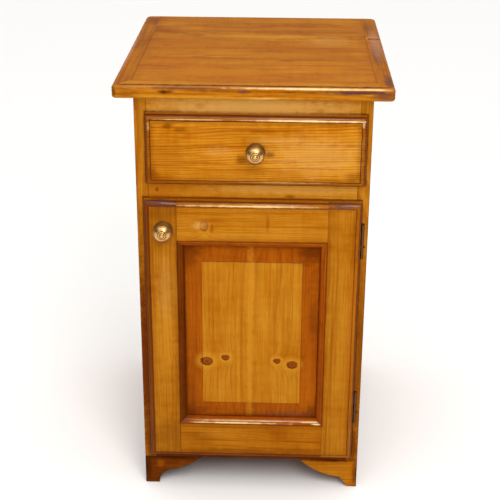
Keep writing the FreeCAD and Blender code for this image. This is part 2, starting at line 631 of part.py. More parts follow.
# ---- knobs ------------------------------------------------------------------------------------------
def knob(label, x, z):
    """A turned knob: thin flange, waisted neck, bead-rimmed head, domed face and ringed middle."""
    dome_edge = "knob_head - rim_in - rim_lip"
    hole = "bolt_radius + bolt_air"
    hole_end = "-bolt_bite - bolt_end_air"
    profile = [
        (hole, "0"),
        ("knob_flange", "0"),
        ("knob_flange", "-flange_edge", "flange_round", -1),
        ("knob_flange - flange_edge", "-2 * flange_edge"),
        ("knob_neck + neck_foot", "-neck_foot_high", "neck_foot_round", 1),
        ("knob_neck", "-neck_low"),
        ("knob_neck", "-neck_high", "flare_round", 1),
        ("knob_head - rim_under", "-head_low"),
        ("knob_head - rim_in", "-rim_low", "rim_round", -1),
        ("knob_head - rim_in", "-rim_high"),
        (dome_edge, "-dome_low", "dome_round", -1),
        ("knob_boss + boss_foot", "-dome_high"),
        ("knob_boss", "-knob_reach + boss_edge", "boss_round", -1),
        ("knob_boss - boss_edge", "-knob_reach"),
        ("knob_boss - dimple_in", "-knob_reach", "dimple_round", 1),
        ("dimple_flat", "-knob_reach + dimple_deep"),
        ("0", "-knob_reach + dimple_deep"),
        ("0", hole_end),
        (hole, hole_end),
    ]
    turned = doc.addObject("Part::Revolution", label + "_turned")
    turned.Source = outline(label + "_profile", profile)
    turned.Axis = Vector(0, 1, 0)
    turned.Base = Vector(0, 0, 0)
    turned.Angle = 360
    turned.Solid = True
    return node(place(turned, x, FACE, z), label)


def knob_bolt(label, x, z, behind):
    """The bolt that holds a knob from inside; behind is the face that its head bears on."""
    shank = rod(label + "_shank", (x, behind, z), "-Y", "bolt_radius",
                f"{behind} - ({FACE}) + bolt_bite")
    head = rod(label + "_head", (x, behind, z), "+Y", "bolt_head", "bolt_head_high")
    return node(fuse(label + "_bolt", shank, head), label)


BOX_FRONT_BACK = f"({FACE_BACK} + box_wood)"
knob("drawer_knob", "drawer_knob_x", "drawer_knob_z")
knob("door_knob", "door_knob_x", "door_knob_z")
knob_bolt("drawer_knob_bolt", "drawer_knob_x", "drawer_knob_z", BOX_FRONT_BACK)
knob_bolt("door_knob_bolt", "door_knob_x", "door_knob_z", FACE_BACK)


# ---- moulded face shared by the drawer front and the door ---------------------------------------
def moulded_face(name, x_low, x_high, z_low, z_high):
    """A board whose front has a raised flat field inside a quarter-round edge."""
    blank = box(name + "_blank", (x_low, FACE_STEP, z_low), (x_high, FACE_BACK, z_high))
    front_y = value(FACE_STEP)
    eased = rounded(name + "_eased", blank, "bead_round",
                    lambda edge: abs(edge.CenterOfMass.y - front_y) < NEAR)
    field = box(name + "_field", (f"{x_low} + bead_wide", FACE, f"{z_low} + bead_wide"),
                (f"{x_high} - bead_wide", FACE_STEP, f"{z_high} - bead_wide"))
    return fuse(name + "_face", eased, field)


# ---- drawer -----------------------------------------------------------------------------------------
front_face = moulded_face("drawer_front", "drawer_left", "drawer_right", "drawer_low",
                          "drawer_high")
knob_way = rod("drawer_knob_way", ("drawer_knob_x", BOX_FRONT_BACK, "drawer_knob_z"), "-Y",
               "bolt_way", f"{BOX_FRONT_BACK} - {FACE}")
node(cut("drawer_front_bored", front_face, knob_way), "drawer_front")

BOX_HALF = f"({INNER} - box_slack)"
BOX_LOW = "(divider_high + box_lift)"
BOX_HIGH = f"({BOX_LOW} + box_high)"
BOX_BACK = f"({FACE_BACK} + box_deep)"
BOTTOM_LOW = f"({BOX_LOW} + bottom_lift)"
BOTTOM_HIGH = f"({BOTTOM_LOW} + bottom_thick)"
PIN_SHARES = (0.0, 1 / 3, 2 / 3, 1.0)
FRONT_SCREW_SHARES = (0.3, 0.7)

bottom = box("drawer_bottom_board", (f"-{BOX_HALF} + groove_deep", f"{FACE_BACK} + groove_deep",
                                     BOTTOM_LOW),
             (f"{BOX_HALF} - groove_deep", BOX_BACK, BOTTOM_HIGH))
node(bottom, "drawer_bottom")

pin_blocks = []
for end, narrow_y, wide_y in (("front", FACE_BACK, BOX_FRONT_BACK),
                              ("back", BOX_BACK, f"({BOX_BACK} - box_wood)")):
    y_low, y_high = (narrow_y, wide_y) if end == "front" else (wide_y, narrow_y)
    at_low, at_high = ("pin_narrow", "pin_wide") if end == "front" else ("pin_wide", "pin_narrow")
    for number, share in enumerate(PIN_SHARES):
        centre = f"{BOX_LOW} + {share:.4f} * box_high"
        wedge = doc.addObject("Part::Wedge", f"pin_{end}_{number}")
        for prop, text in (("Xmin", f"-{BOX_HALF}"), ("Xmax", BOX_HALF),
                           ("X2min", f"-{BOX_HALF}"), ("X2max", BOX_HALF),
                           ("Ymin", y_low), ("Ymax", y_high),
                           ("Zmin", f"{centre} - {at_low} / 2"),
                           ("Zmax", f"{centre} + {at_low} / 2"),
                           ("Z2min", f"{centre} - {at_high} / 2"),
                           ("Z2max", f"{centre} + {at_high} / 2")):
            bind(wedge, prop, text)
        pin_blocks.append(wedge)
pins_of_box = fuse("drawer_pins", *pin_blocks)

box_sides = []
for side, sign in SIDES:
    x_low, x_high = across(sign, f"{BOX_HALF} - box_wood", BOX_HALF)
    plain = box(f"drawer_side_{side}_plain", (x_low, FACE_BACK, BOX_LOW),
                (x_high, BOX_BACK, BOX_HIGH))
    box_sides.append(node(cut(f"drawer_side_{side}_cut", plain, pins_of_box, bottom),
                          f"drawer_side_{side}"))
plain = box("drawer_box_front_plain", (f"-{BOX_HALF}", FACE_BACK, BOX_LOW),
            (BOX_HALF, BOX_FRONT_BACK, BOX_HIGH))
node(cut("drawer_box_front_cut", plain, *box_sides, bottom, knob_way), "drawer_box_front")
plain = box("drawer_back_plain", (f"-{BOX_HALF}", f"{BOX_BACK} - box_wood", BOTTOM_HIGH),
            (BOX_HALF, BOX_BACK, f"{BOX_HIGH} - back_drop"))
node(cut("drawer_back_cut", plain, *box_sides), "drawer_back")

front_screws = []
for side, sign in SIDES:
    for number, share in enumerate(FRONT_SCREW_SHARES):
        spot = (f"{sign} * ({BOX_HALF} - front_screw_in)", BOX_FRONT_BACK,
                f"{BOX_LOW} + {share} * box_high")
        tag = f"front_screw_{side}_{number}"
        head = rod(tag + "_head", spot, "+Y", "front_screw_head", "front_screw_head_high")
        shank = rod(tag + "_shank", spot, "-Y", "front_screw_shank",
                    "box_wood + front_screw_bite")
        front_screws.append(fuse(tag, head, shank))
node(group("front_screw_group", *front_screws), "drawer_front_screws")


# ---- door -------------------------------------------------------------------------------------------
door_face = moulded_face("door", "-door_half", "door_half", "door_low", "door_high")
sight = box("door_sight", ("-sight_half", FACE, "sight_low"),
            ("sight_half", FACE_BACK, "sight_high"))
PANEL_FACE = f"({FACE_BACK} - panel_edge)"
panel_seat = box("door_panel_seat",
                 ("-sight_half - panel_rebate", PANEL_FACE, "sight_low - panel_rebate"),
                 ("sight_half + panel_rebate", FACE_BACK, "sight_high + panel_rebate"))
door_frame = cut("door_frame", door_face, sight, panel_seat)
TENON_Y = f"({FACE_STEP} + door_tenon_cheek)"
door_knob_way = rod("door_knob_way", ("door_knob_x", FACE_BACK, "door_knob_z"), "-Y", "bolt_way",
                    "front_thick")
door_tenons = {}
for level, z_low, z_high in (("top", "sight_high", "door_high"),
                             ("bottom", "door_low", "sight_low")):
    door_tenons[level] = box(f"door_tenon_{level}",
                             ("-sight_half - door_tenon_long", TENON_Y,
                              f"{z_low} + door_tenon_shoulder"),
                             ("sight_half + door_tenon_long", f"{TENON_Y} + door_tenon_thick",
                              f"{z_high} - door_tenon_shoulder"))
    space = box(f"door_rail_{level}_space", ("-sight_half", FACE, z_low),
                ("sight_half", FACE_BACK, z_high))
    shape = common(f"door_rail_{level}_plain", door_frame, space)
    rail = fuse(f"door_rail_{level}_tenoned", shape, door_tenons[level])
    if level == "top":
        rail = cut("door_rail_top_bored", rail, door_knob_way)
    node(rail, f"door_rail_{level}")
for side, sign in SIDES:
    x_low, x_high = across(sign, "sight_half", "door_half")
    space = box(f"door_stile_{side}_space", (x_low, FACE, "door_low"),
                (x_high, FACE_BACK, "door_high"))
    shape = common(f"door_stile_{side}_plain", door_frame, space)
    tools = list(door_tenons.values())
    if side == "left":
        tools.append(door_knob_way)
    else:
        tools += [box(f"door_leaf_seat_{which}", ("door_leaf_x", DOOR_LEAF[0], low),
                      ("door_half", FACE_BACK, f"{low} + hinge_long")) for which, low in HINGES]
    node(cut(f"door_stile_{side}_worked", shape, *tools), f"door_stile_{side}")

# Raised panel: a thin edge held in the frame's rebate, a sloping border and a raised field.
BEVEL_X = "(sight_half - moulding_wide)"
BEVEL_LOW = "(sight_low + moulding_wide)"
BEVEL_HIGH = "(sight_high - moulding_wide)"
PANEL_GRIP = "(panel_rebate - panel_slack)"
panel_plate = box("door_panel_plate",
                  (f"-sight_half - {PANEL_GRIP}", PANEL_FACE, f"sight_low - {PANEL_GRIP}"),
                  (f"sight_half + {PANEL_GRIP}", FACE_BACK, f"sight_high + {PANEL_GRIP}"))
slope = doc.addObject("Part::Wedge", "door_panel_slope")
for prop, text in (("Xmin", f"-{BEVEL_X} + bevel_wide"), ("Xmax", f"{BEVEL_X} - bevel_wide"),
                   ("X2min", f"-{BEVEL_X}"), ("X2max", BEVEL_X),
                   ("Ymin", f"{PANEL_FACE} - bevel_rise"), ("Ymax", PANEL_FACE),
                   ("Zmin", f"{BEVEL_LOW} + bevel_wide"), ("Zmax", f"{BEVEL_HIGH} - bevel_wide"),
                   ("Z2min", BEVEL_LOW), ("Z2max", BEVEL_HIGH)):
    bind(slope, prop, text)
field = box("door_panel_field",
            (f"-{BEVEL_X} + bevel_wide", f"{PANEL_FACE} - bevel_rise - field_step",
             f"{BEVEL_LOW} + bevel_wide"),
            (f"{BEVEL_X} - bevel_wide", f"{PANEL_FACE} - bevel_rise",
             f"{BEVEL_HIGH} - bevel_wide"))
node(fuse("door_panel_raised", panel_plate, slope, field), "door_panel")

# Moulding: one rounded ring inside the frame, divided into four mitred strips.
MOULD_FACE = f"({PANEL_FACE} - moulding_deep)"
ring_outer = box("moulding_outer", ("-sight_half", MOULD_FACE, "sight_low"),
                 ("sight_half", PANEL_FACE, "sight_high"))
ring_inner = box("moulding_inner", (f"-{BEVEL_X}", MOULD_FACE, BEVEL_LOW),
                 (BEVEL_X, PANEL_FACE, BEVEL_HIGH))
ring = cut("moulding_ring", ring_outer, ring_inner)
ring_front, ring_reach = value(MOULD_FACE), value(BEVEL_X)
ring_mid, ring_half = value("(sight_low + sight_high) / 2"), value("(sight_high - sight_low) / 2")


def inner_front_edge(edge):
    """Picks the four edges where the ring's face meets its opening."""
    middle = edge.CenterOfMass
    if abs(middle.y - ring_front) > NEAR:
        return False
    return abs(middle.x) < ring_reach + NEAR and abs(middle.z - ring_mid) < ring_half - NEAR


moulding = rounded("moulding_rounded", ring, "moulding_round", inner_front_edge)
for side, sign in SIDES:
    part = slab(f"moulding_{side}_space", "XZ",
                [(f"{sign} * sight_half", "sight_low"), (f"{sign} * sight_half", "sight_high"),
                 (f"{sign} * {BEVEL_X}", BEVEL_HIGH), (f"{sign} * {BEVEL_X}", BEVEL_LOW)],
                MOULD_FACE, PANEL_FACE)
    node(common(f"moulding_{side}_strip", moulding, part), f"door_moulding_{side}")
for level, outer, inner in (("top", "sight_high", BEVEL_HIGH), ("bottom", "sight_low", BEVEL_LOW)):
    part = slab(f"moulding_{level}_space", "XZ",
                [("-sight_half", outer), ("sight_half", outer), (BEVEL_X, inner),
                 (f"-{BEVEL_X}", inner)], MOULD_FACE, PANEL_FACE)
    node(common(f"moulding_{level}_strip", moulding, part), f"door_moulding_{level}")


# ---- checks and export ------------------------------------------------------------------------------
doc.recompute()
for item in doc.Objects:
    if "Invalid" in item.State or "Error" in item.State:
        raise RuntimeError(f"{item.Label} did not compute: {item.State}")
for item in nodes:
    if item.Shape.isNull() or not item.Shape.isValid() or not item.Shape.Solids:
        raise RuntimeError(f"{item.Label} has no valid solid")

os.makedirs("parts", exist_ok=True)
for item in nodes:
    item.Shape.exportStep(f"parts/{item.Label}.step")
print(len(nodes), "pieces written")
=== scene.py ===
"""Looks of the pine cabinet: varnished boards, brass knobs, floor, lights and camera.

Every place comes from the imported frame, in metres: +X right, -Y out of the front, +Z up.
"""
import math

import bmesh
import bpy
from bpy.props import FloatProperty, FloatVectorProperty, IntProperty, PointerProperty
from mathutils import Matrix, Vector


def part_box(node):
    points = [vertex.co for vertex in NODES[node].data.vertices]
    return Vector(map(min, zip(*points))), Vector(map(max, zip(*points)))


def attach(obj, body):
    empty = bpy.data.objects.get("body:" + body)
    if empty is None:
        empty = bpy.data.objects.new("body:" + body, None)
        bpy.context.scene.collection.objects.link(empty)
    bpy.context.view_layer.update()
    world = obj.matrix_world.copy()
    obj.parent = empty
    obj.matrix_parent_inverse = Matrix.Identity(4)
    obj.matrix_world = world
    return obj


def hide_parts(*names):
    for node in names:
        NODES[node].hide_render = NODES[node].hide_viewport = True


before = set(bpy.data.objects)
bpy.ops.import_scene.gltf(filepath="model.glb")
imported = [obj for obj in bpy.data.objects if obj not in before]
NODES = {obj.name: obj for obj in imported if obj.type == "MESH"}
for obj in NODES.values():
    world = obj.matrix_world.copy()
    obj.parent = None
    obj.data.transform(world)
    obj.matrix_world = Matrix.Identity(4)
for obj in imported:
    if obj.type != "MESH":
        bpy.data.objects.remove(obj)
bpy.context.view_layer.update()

bl_info = {
    "name": "Pine Cabinet",
    "version": (1, 0, 0),
    "blender": (4, 5, 0),
    "location": "View3D > Sidebar > Cabinet",
    "description": "Dresses a small pine cabinet: varnished boards, brass knobs and a plain studio",
    "category": "Object",
}

MM = 0.001


def srgb(red, green, blue):
    """A display colour of 0 to 255 as the linear colour that shaders use."""
    def linear(channel):
        part = channel / 255
        return part / 12.92 if part <= 0.04045 else ((part + 0.055) / 1.055) ** 2.4
    return (linear(red), linear(green), linear(blue))


# ---- settings -------------------------------------------------------------------------------------
def colour(name, description, default):
    return FloatVectorProperty(name=name, description=description, subtype="COLOR", size=3,
                               min=0, max=1, default=srgb(*default))


def share(name, description, default):
    return FloatProperty(name=name, description=description, subtype="FACTOR", min=0, max=1,
                         default=default)


def length(name, description, default):
    return FloatProperty(name=name, description=description, subtype="DISTANCE", unit="LENGTH",
                         default=default)


def power(name, description, default):
    return FloatProperty(name=name, description=description, unit="POWER", min=0,
                         default=default)


class VarnishSettings(bpy.types.PropertyGroup):
    """Varnished pine, in stains from golden to umber, each with three depths."""
    golden_pale: colour("Golden, pale", "Early wood of the golden boards", (198, 134, 34))
    golden_mid: colour("Golden, middle", "Body colour of the golden boards", (180, 108, 12))
    golden_dark: colour("Golden, dark", "Late wood of the golden boards", (138, 66, 3))
    amber_pale: colour("Amber, pale", "Early wood of the amber boards", (192, 122, 22))
    amber_mid: colour("Amber, middle", "Body colour of the amber boards", (170, 98, 8))
    amber_dark: colour("Amber, dark", "Late wood of the amber boards", (132, 58, 3))
    russet_pale: colour("Russet, pale", "Early wood of the russet parts", (168, 84, 8))
    russet_mid: colour("Russet, middle", "Body colour of the russet parts", (142, 64, 4))
    russet_dark: colour("Russet, dark", "Late wood of the russet parts", (106, 38, 2))
    umber_pale: colour("Umber, pale", "Early wood of the dark parts", (128, 60, 4))
    umber_mid: colour("Umber, middle", "Body colour of the dark parts", (102, 42, 2))
    umber_dark: colour("Umber, dark", "Late wood of the dark parts", (66, 24, 1))
    knot: colour("Knot", "Heart of a knot", (116, 44, 14))
    # Grime darkens seams and knot rims, and also serves as painted shade under arrises, in hinge
    # recesses and below the door.
    grime: colour("Grime", "Old dirt and stain in seams and corners", (52, 15, 1))
    # Stain along the mouldings, and painted shadow along the gaps round the drawer and door.
    stain_and_shade: colour("Quirk", "Stain gathered along mouldings", (84, 26, 1))
    straw: colour("Straw", "Palest sapwood", (226, 180, 98))
    weathered: colour("Weathered", "Grey-violet of worn and water-marked wood", (92, 52, 42))
    # Painted highlight: light caught on the beads, the bottom moulding and the top's front arris.
    gleam: colour("Gleam", "Polish that catches the light on raised edges", (248, 212, 144))
    # Painted sheen: the pale reflection of the varnish along the lippings.
    bloom: colour("Bloom", "Cloudy varnish on worn edges", (196, 150, 128))
    warmth: colour("Warmth", "Tint of what the varnish mirrors", (255, 190, 96))
    gloss: share("Roughness", "Roughness of the varnish", 0.3)
    shine: share("Shine", "Strength of the varnish's plain reflection", 0.08)
    bead_coat: share("Bead coat", "Clear coat on rounded edges and mouldings", 0.4)
    coat_gloss: share("Coat roughness", "Roughness of the clear coat", 0.16)
    ease: length("Eased edge", "Rounding of the boards' edges", 0.8 * MM)


class BareWoodSettings(bpy.types.PropertyGroup):
    """Bare planed pine and plywood inside the cabinet."""
    bare_pale: colour("Pale", "Early wood of bare pine", (224, 188, 132))
    bare_mid: colour("Middle", "Body colour of bare pine", (206, 162, 102))
    bare_dark: colour("Dark", "Late wood of bare pine", (166, 110, 58))
    ply_pale: colour("Plywood, pale", "Pale veneer", (226, 196, 148))
    ply_mid: colour("Plywood, middle", "Body colour of the veneer", (214, 178, 124))
    ply_dark: colour("Plywood, dark", "Grain of the veneer", (186, 142, 88))
    roughness: share("Roughness", "Roughness of bare wood", 0.62)


class MetalSettings(bpy.types.PropertyGroup):
    """Brass knobs, dark hinges, steel screws and the catch's plastic."""
    brass: colour("Brass", "Polished brass", (214, 166, 100))
    tarnish: colour("Tarnish", "Brass where hands and polish don't reach", (96, 56, 20))
    bronze: colour("Bronze", "Browned metal of the hinges", (104, 70, 42))
    steel: colour("Steel", "Zinc-plated steel", (178, 174, 166))
    plastic: colour("Plastic", "The magnetic catch", (66, 40, 24))
    polish: share("Roughness", "Roughness of the polished brass", 0.24)
    segments: IntProperty(name="Segments", description="Facets round a turned knob", default=96,
                          min=12)


class StageSettings(bpy.types.PropertyGroup):
    """Floor, lights and camera."""
    floor: colour("Floor", "Plain pale floor", (246, 245, 243))
    key_power: power("Key", "Power of the tall light in front, on the right", 29)
    fill_power: power("Fill", "Power of the broad light in front, on the left", 10)
    ceiling: FloatProperty(name="Ceiling", description="Strength of the even light from above",
                           default=1.75, min=0)
    surround: FloatProperty(name="Surround", description="Strength of the light near the horizon",
                            default=0.16, min=0)
    lens: FloatProperty(name="Lens", description="Focal length", default=85.68, min=10,
                        subtype="DISTANCE_CAMERA")
    eye: FloatVectorProperty(name="Eye", description="Where the camera stands", size=3,
                             subtype="TRANSLATION", default=(0.0553, -2.2494, 1.3726))
    pitch: FloatProperty(name="Pitch", description="Camera's tilt from level", subtype="ANGLE",
                         default=-0.405834)
    yaw: FloatProperty(name="Yaw", description="Camera's turn from straight ahead",
                       subtype="ANGLE", default=-0.0296736)
    roll: FloatProperty(name="Roll", description="Camera's lean", subtype="ANGLE",
                        default=-0.00550434)


# ---- shader trees -----------------------------------------------------------------------------------
class Wiring:
    """Adds nodes to one shader tree and joins them. A value is a number, a tuple or a socket."""

    def __init__(self, tree):
        self.tree = tree

    def feed(self, socket, value):
        if isinstance(value, bpy.types.NodeSocket):
            self.tree.links.new(value, socket)
        elif value is not None:
            if socket.type == "RGBA" and len(value) == 3:
                value = (*value, 1.0)
            socket.default_value = value

    def put(self, kind, values=(), **settings):
        node = self.tree.nodes.new(kind)
        for name, setting in settings.items():
            setattr(node, name, setting)
        for socket, value in zip(node.inputs, values):
            self.feed(socket, value)
        return node

    def math(self, operation, *values):
        return self.put("ShaderNodeMath", values, operation=operation).outputs[0]

    def vector(self, operation, *values):
        node = self.put("ShaderNodeVectorMath", values, operation=operation)
        return node.outputs["Value" if operation == "LENGTH" else "Vector"]

    def times(self, first, second):
        return self.math("MULTIPLY", first, second)

    def plus(self, first, second):
        return self.math("ADD", first, second)

    def scaled(self, vector, factors):
        """A vector times a number for each axis, or times one number for all three."""
        if isinstance(factors, float):
            factors = (factors, factors, factors)
        return self.vector("MULTIPLY", vector, factors)

    def split(self, vector):
        return self.put("ShaderNodeSeparateXYZ", (vector,)).outputs

    def join(self, x, y, z):
        return self.put("ShaderNodeCombineXYZ", (x, y, z)).outputs[0]

    def noise(self, vector, scale, detail=2.0, roughness=0.5, output="Fac"):
        node = self.put("ShaderNodeTexNoise")
        for name, value in (("Vector", self.scaled(vector, scale)), ("Scale", 1.0),
                            ("Detail", detail), ("Roughness", roughness)):
            self.feed(node.inputs[name], value)
        return node.outputs[output]

    def ease(self, value, low, high, start=0.0, end=1.0):
        """Turns a value between low and high into one between start and end, smoothly."""
        node = self.put("ShaderNodeMapRange", (value, low, high, start, end),
                        interpolation_type="SMOOTHSTEP")
        return node.outputs[0]

    def mix(self, factor, first, second):
        node = self.put("ShaderNodeMix", data_type="RGBA", clamp_factor=True)
        for index, value in ((0, factor), (6, first), (7, second)):
            self.feed(node.inputs[index], value)
        return node.outputs[2]

    def group(self, name, **values):
        """Places a shared group; an underscore in a value's name stands for a space."""
        node = self.put("ShaderNodeGroup", node_tree=shared(name))
        for label, value in values.items():
            self.feed(node.inputs[label.replace("_", " ")], value)
        return node.outputs


def start_group(name, inputs, outputs, kind="NodeSocketFloat"):
    """A shader node group with named sockets: returns it, its wiring, its inputs and its outputs.

    The default of an input gives its kind: a number, a place of three or a colour of four.
    """
    kinds = {3: "NodeSocketVector", 4: "NodeSocketColor"}
    tree = bpy.data.node_groups.new(name, "ShaderNodeTree")
    for label, default in inputs.items():
        found = kinds[len(default)] if isinstance(default, tuple) else "NodeSocketFloat"
        socket = tree.interface.new_socket(label, in_out="INPUT", socket_type=found)
        socket.default_value = default
    for label in outputs:
        tree.interface.new_socket(label, in_out="OUTPUT", socket_type=kind)
    wires = Wiring(tree)
    return tree, wires, wires.put("NodeGroupInput").outputs, wires.put("NodeGroupOutput").inputs


ORIGIN = (0, 0, 0)
FIGURE = ("Late", "Streak", "Fibre", "Patch", "Fleck")
KNOT_MASKS = ("Push", "Heart", "Rim", "Halo")


def figure_group():
    """The figure of a pine board: rings about a pith, long streaks, fibres, patches and flecks.

    The vector's X runs along the grain, Y across the board's face and Z through the board.
    """
    tree, w, given, out = start_group(
        "Pine figure",
        {"Vector": ORIGIN, "Seed": 0.0, "Pith": (0, 0, 0.1), "Ring Width": 0.004, "Taper": 0.02,
         "Wander": 0.05, "Push": 0.0}, (*FIGURE, "Height"))
    shift = w.scaled(w.join(given["Seed"], given["Seed"], given["Seed"]), (1.73, 0.91, 2.37))
    spot = w.vector("ADD", given["Vector"], shift)
    bend = w.noise(spot, (1.6, 5.0, 5.0), detail=2.5, output="Color")
    wander = w.scaled(w.vector("SUBTRACT", bend, (0.5, 0.5, 0.5)),
                      w.join(given["Wander"], given["Wander"], given["Wander"]))
    bent = w.vector("ADD", w.vector("SUBTRACT", given["Vector"], given["Pith"]), wander)
    along, across, through = w.split(bent)
    radius = w.math("SQRT", w.plus(w.times(across, across), w.times(through, through)))
    radius = w.plus(radius, w.times(along, given["Taper"]))
    radius = w.plus(radius, given["Push"])
    jitter = w.noise(spot, (5.0, 70.0, 70.0))
    ring = w.math("DIVIDE", radius, given["Ring Width"])
    ring = w.plus(ring, w.times(jitter, 0.7))
    swell = w.noise(w.join(w.times(ring, 0.21), given["Seed"], 0.0), 1.0, detail=1.0)
    ring = w.plus(ring, w.times(swell, 2.4))
    part = w.math("FRACT", ring)
    late = w.times(w.ease(part, 0.25, 0.88), w.ease(part, 0.9, 1.0, 1.0, 0.0))
    own = w.put("ShaderNodeTexWhiteNoise", noise_dimensions="1D")
    w.feed(own.inputs["W"], w.math("FLOOR", ring))
    late = w.times(late, w.math("MULTIPLY_ADD", own.outputs["Value"], 0.75, 0.25))
    streak = w.noise(spot, (3.0, 170.0, 170.0), detail=4.0, roughness=0.68)
    fibre = w.noise(spot, (14.0, 620.0, 620.0), roughness=0.65)
    patch = w.noise(spot, (8.0, 19.0, 19.0), detail=4.0, roughness=0.62)
    smear = w.noise(spot, (75.0, 13.0, 13.0), detail=3.0, roughness=0.6)
    patch = w.plus(w.times(patch, 0.72), w.times(smear, 0.28))
    fleck = w.ease(w.noise(spot, (55.0, 1300.0, 1300.0), detail=0.0), 0.74, 0.82)
    for name, value in zip(FIGURE, (late, streak, fibre, patch, fleck)):
        w.feed(out[name], value)
    height = w.plus(w.times(late, 0.35), w.times(fibre, 0.4))
    w.feed(out["Height"], w.math("SUBTRACT", height, w.times(fleck, 0.5)))
    return tree


def knot_group():
    """One knot through a board: how far it pushes the rings aside, its heart, rim and halo."""
    tree, w, given, out = start_group(
        "Pine knot",
        {"Vector": ORIGIN, "Along": 0.0, "Across": 0.0, "Size": 0.008, "Stretch": 1.25,
         "Strength": 1.0, **{f"{mask} So Far": 0.0 for mask in KNOT_MASKS}}, KNOT_MASKS)
    along, across, _ = w.split(given["Vector"])
    rough = w.noise(given["Vector"], 190.0)
    away = w.join(w.times(w.math("SUBTRACT", along, given["Along"]), given["Stretch"]),
                  w.math("SUBTRACT", across, given["Across"]), 0.0)
    gap = w.math("DIVIDE", w.vector("LENGTH", away), given["Size"])
    ragged = w.plus(gap, w.math("MULTIPLY_ADD", rough, 0.6, -0.3))
    wide = w.times(w.times(gap, gap), -0.22)
    push = w.times(w.math("EXPONENT", wide), w.times(given["Size"], 1.7))
    w.feed(out["Push"], w.plus(given["Push So Far"], push))
    grown = w.math("MULTIPLY_ADD", w.math("SINE", w.times(ragged, 9.0)), 0.1, 0.86)
    right, up, _ = w.split(away)
    slant = w.math("DIVIDE", w.plus(right, up), given["Size"])
    rim = w.times(w.ease(ragged, 0.55, 0.9), w.ease(ragged, 0.95, 1.2, 1.0, 0.0))
    masks = {"Heart": w.times(w.ease(ragged, 0.75, 1.1, 1.0, 0.0), grown),
             "Rim": w.times(rim, w.ease(slant, -0.8, 0.9, 1.0, 0.15)),
             "Halo": w.times(w.ease(ragged, 0.9, 1.1), w.ease(gap, 1.1, 2.6, 1.0, 0.0))}
    for name, mask in masks.items():
        strong = w.times(mask, given["Strength"])
        w.feed(out[name], w.math("MAXIMUM", given[f"{name} So Far"], strong))
    return tree


def edge_group():
    """How far a point is from the nearest edge of its board, on whichever face it lies."""
    tree, w, given, out = start_group(
        "Board edge",
        {"Vector": ORIGIN, "Normal": (0, 0, 1), "Low": ORIGIN, "High": (1, 1, 1)}, ("Distance",))
    near = w.vector("MINIMUM", w.vector("SUBTRACT", given["Vector"], given["Low"]),
                    w.vector("SUBTRACT", given["High"], given["Vector"]))
    facing = w.split(w.vector("ABSOLUTE", given["Normal"]))
    gaps = [w.plus(gap, w.ease(side, 0.93, 0.995)) for gap, side in zip(w.split(near), facing)]
    w.feed(out["Distance"], w.math("MINIMUM", gaps[0], w.math("MINIMUM", gaps[1], gaps[2])))
    return tree


def rectangle_group():
    """Masks of an upright rectangle of the front, with a border that wavers a little.

    Outside is what lies beyond it, and Ring is a band along its border.
    """
    tree, w, given, out = start_group(
        "Front rectangle",
        {"Vector": ORIGIN, "Low": ORIGIN, "High": (1, 1, 1), "Width": 0.001},
        ("Outside", "Ring"))
    low_x, _, low_z = w.split(w.vector("SUBTRACT", given["Vector"], given["Low"]))
    high_x, _, high_z = w.split(w.vector("SUBTRACT", given["High"], given["Vector"]))
    inside = w.math("MINIMUM", w.math("MINIMUM", low_x, high_x),
                    w.math("MINIMUM", low_z, high_z))
    waver = w.noise(given["Vector"], 60.0, detail=3.0)
    inside = w.plus(inside, w.times(w.math("SUBTRACT", waver, 0.5), given["Width"]))
    w.feed(out["Outside"], w.ease(w.math("DIVIDE", inside, given["Width"]), -0.5, 0.5, 1.0, 0.0))
    away = w.math("DIVIDE", w.math("ABSOLUTE", inside), given["Width"])
    w.feed(out["Ring"], w.ease(away, 0.3, 1.0, 1.0, 0.0))
    return tree


def spot_group():
    """A soft ragged spot of stain or wear about a centre, with its own reach along each axis."""
    tree, w, given, out = start_group(
        "Stain spot",
        {"Vector": ORIGIN, "Centre": ORIGIN, "Reach": (1, 1, 1), "Strength": 1.0, "So Far": 0.0},
        ("Mask",))
    away = w.vector("DIVIDE", w.vector("SUBTRACT", given["Vector"], given["Centre"]),
                    given["Reach"])
    rough = w.noise(given["Vector"], (70.0, 70.0, 110.0), detail=4.0, roughness=0.6)
    gap = w.plus(w.vector("LENGTH", away), w.math("MULTIPLY_ADD", rough, 1.1, -0.55))
    mask = w.times(w.ease(gap, 0.2, 1.05, 1.0, 0.0), given["Strength"])
    w.feed(out["Mask"], w.math("MAXIMUM", given["So Far"], mask))
    return tree


def stain_group():
    """Colour of wood from its figure and three depths of stain."""
    tree, w, given, out = start_group(
        "Stained wood",
        {"Pale": (1, 1, 1, 1), "Mid": (0.5, 0.5, 0.5, 1), "Dark": (0, 0, 0, 1),
         **{part: 0.5 for part in FIGURE}, "Contrast": 0.6}, ("Colour",), "NodeSocketColor")
    body = w.mix(w.ease(given["Patch"], 0.3, 0.7), given["Pale"], given["Mid"])
    body = w.mix(w.ease(given["Streak"], 0.42, 0.75, 0.0, 0.75), body, given["Mid"])
    body = w.mix(w.ease(given["Patch"], 0.54, 0.72, 0.0, 0.4), body, given["Dark"])
    body = w.mix(w.times(given["Late"], given["Contrast"]), body, given["Dark"])
    thin = w.times(w.ease(given["Streak"], 0.52, 0.7), given["Contrast"])
    body = w.mix(thin, body, given["Dark"])
    body = w.mix(w.ease(given["Fibre"], 0.48, 0.72, 0.0, 0.35), body, given["Dark"])
    body = w.mix(w.ease(given["Streak"], 0.22, 0.45, 0.5, 0.0), body, given["Pale"])
    w.feed(out["Colour"], w.mix(w.times(given["Fleck"], 0.5), body, given["Dark"]))
    return tree


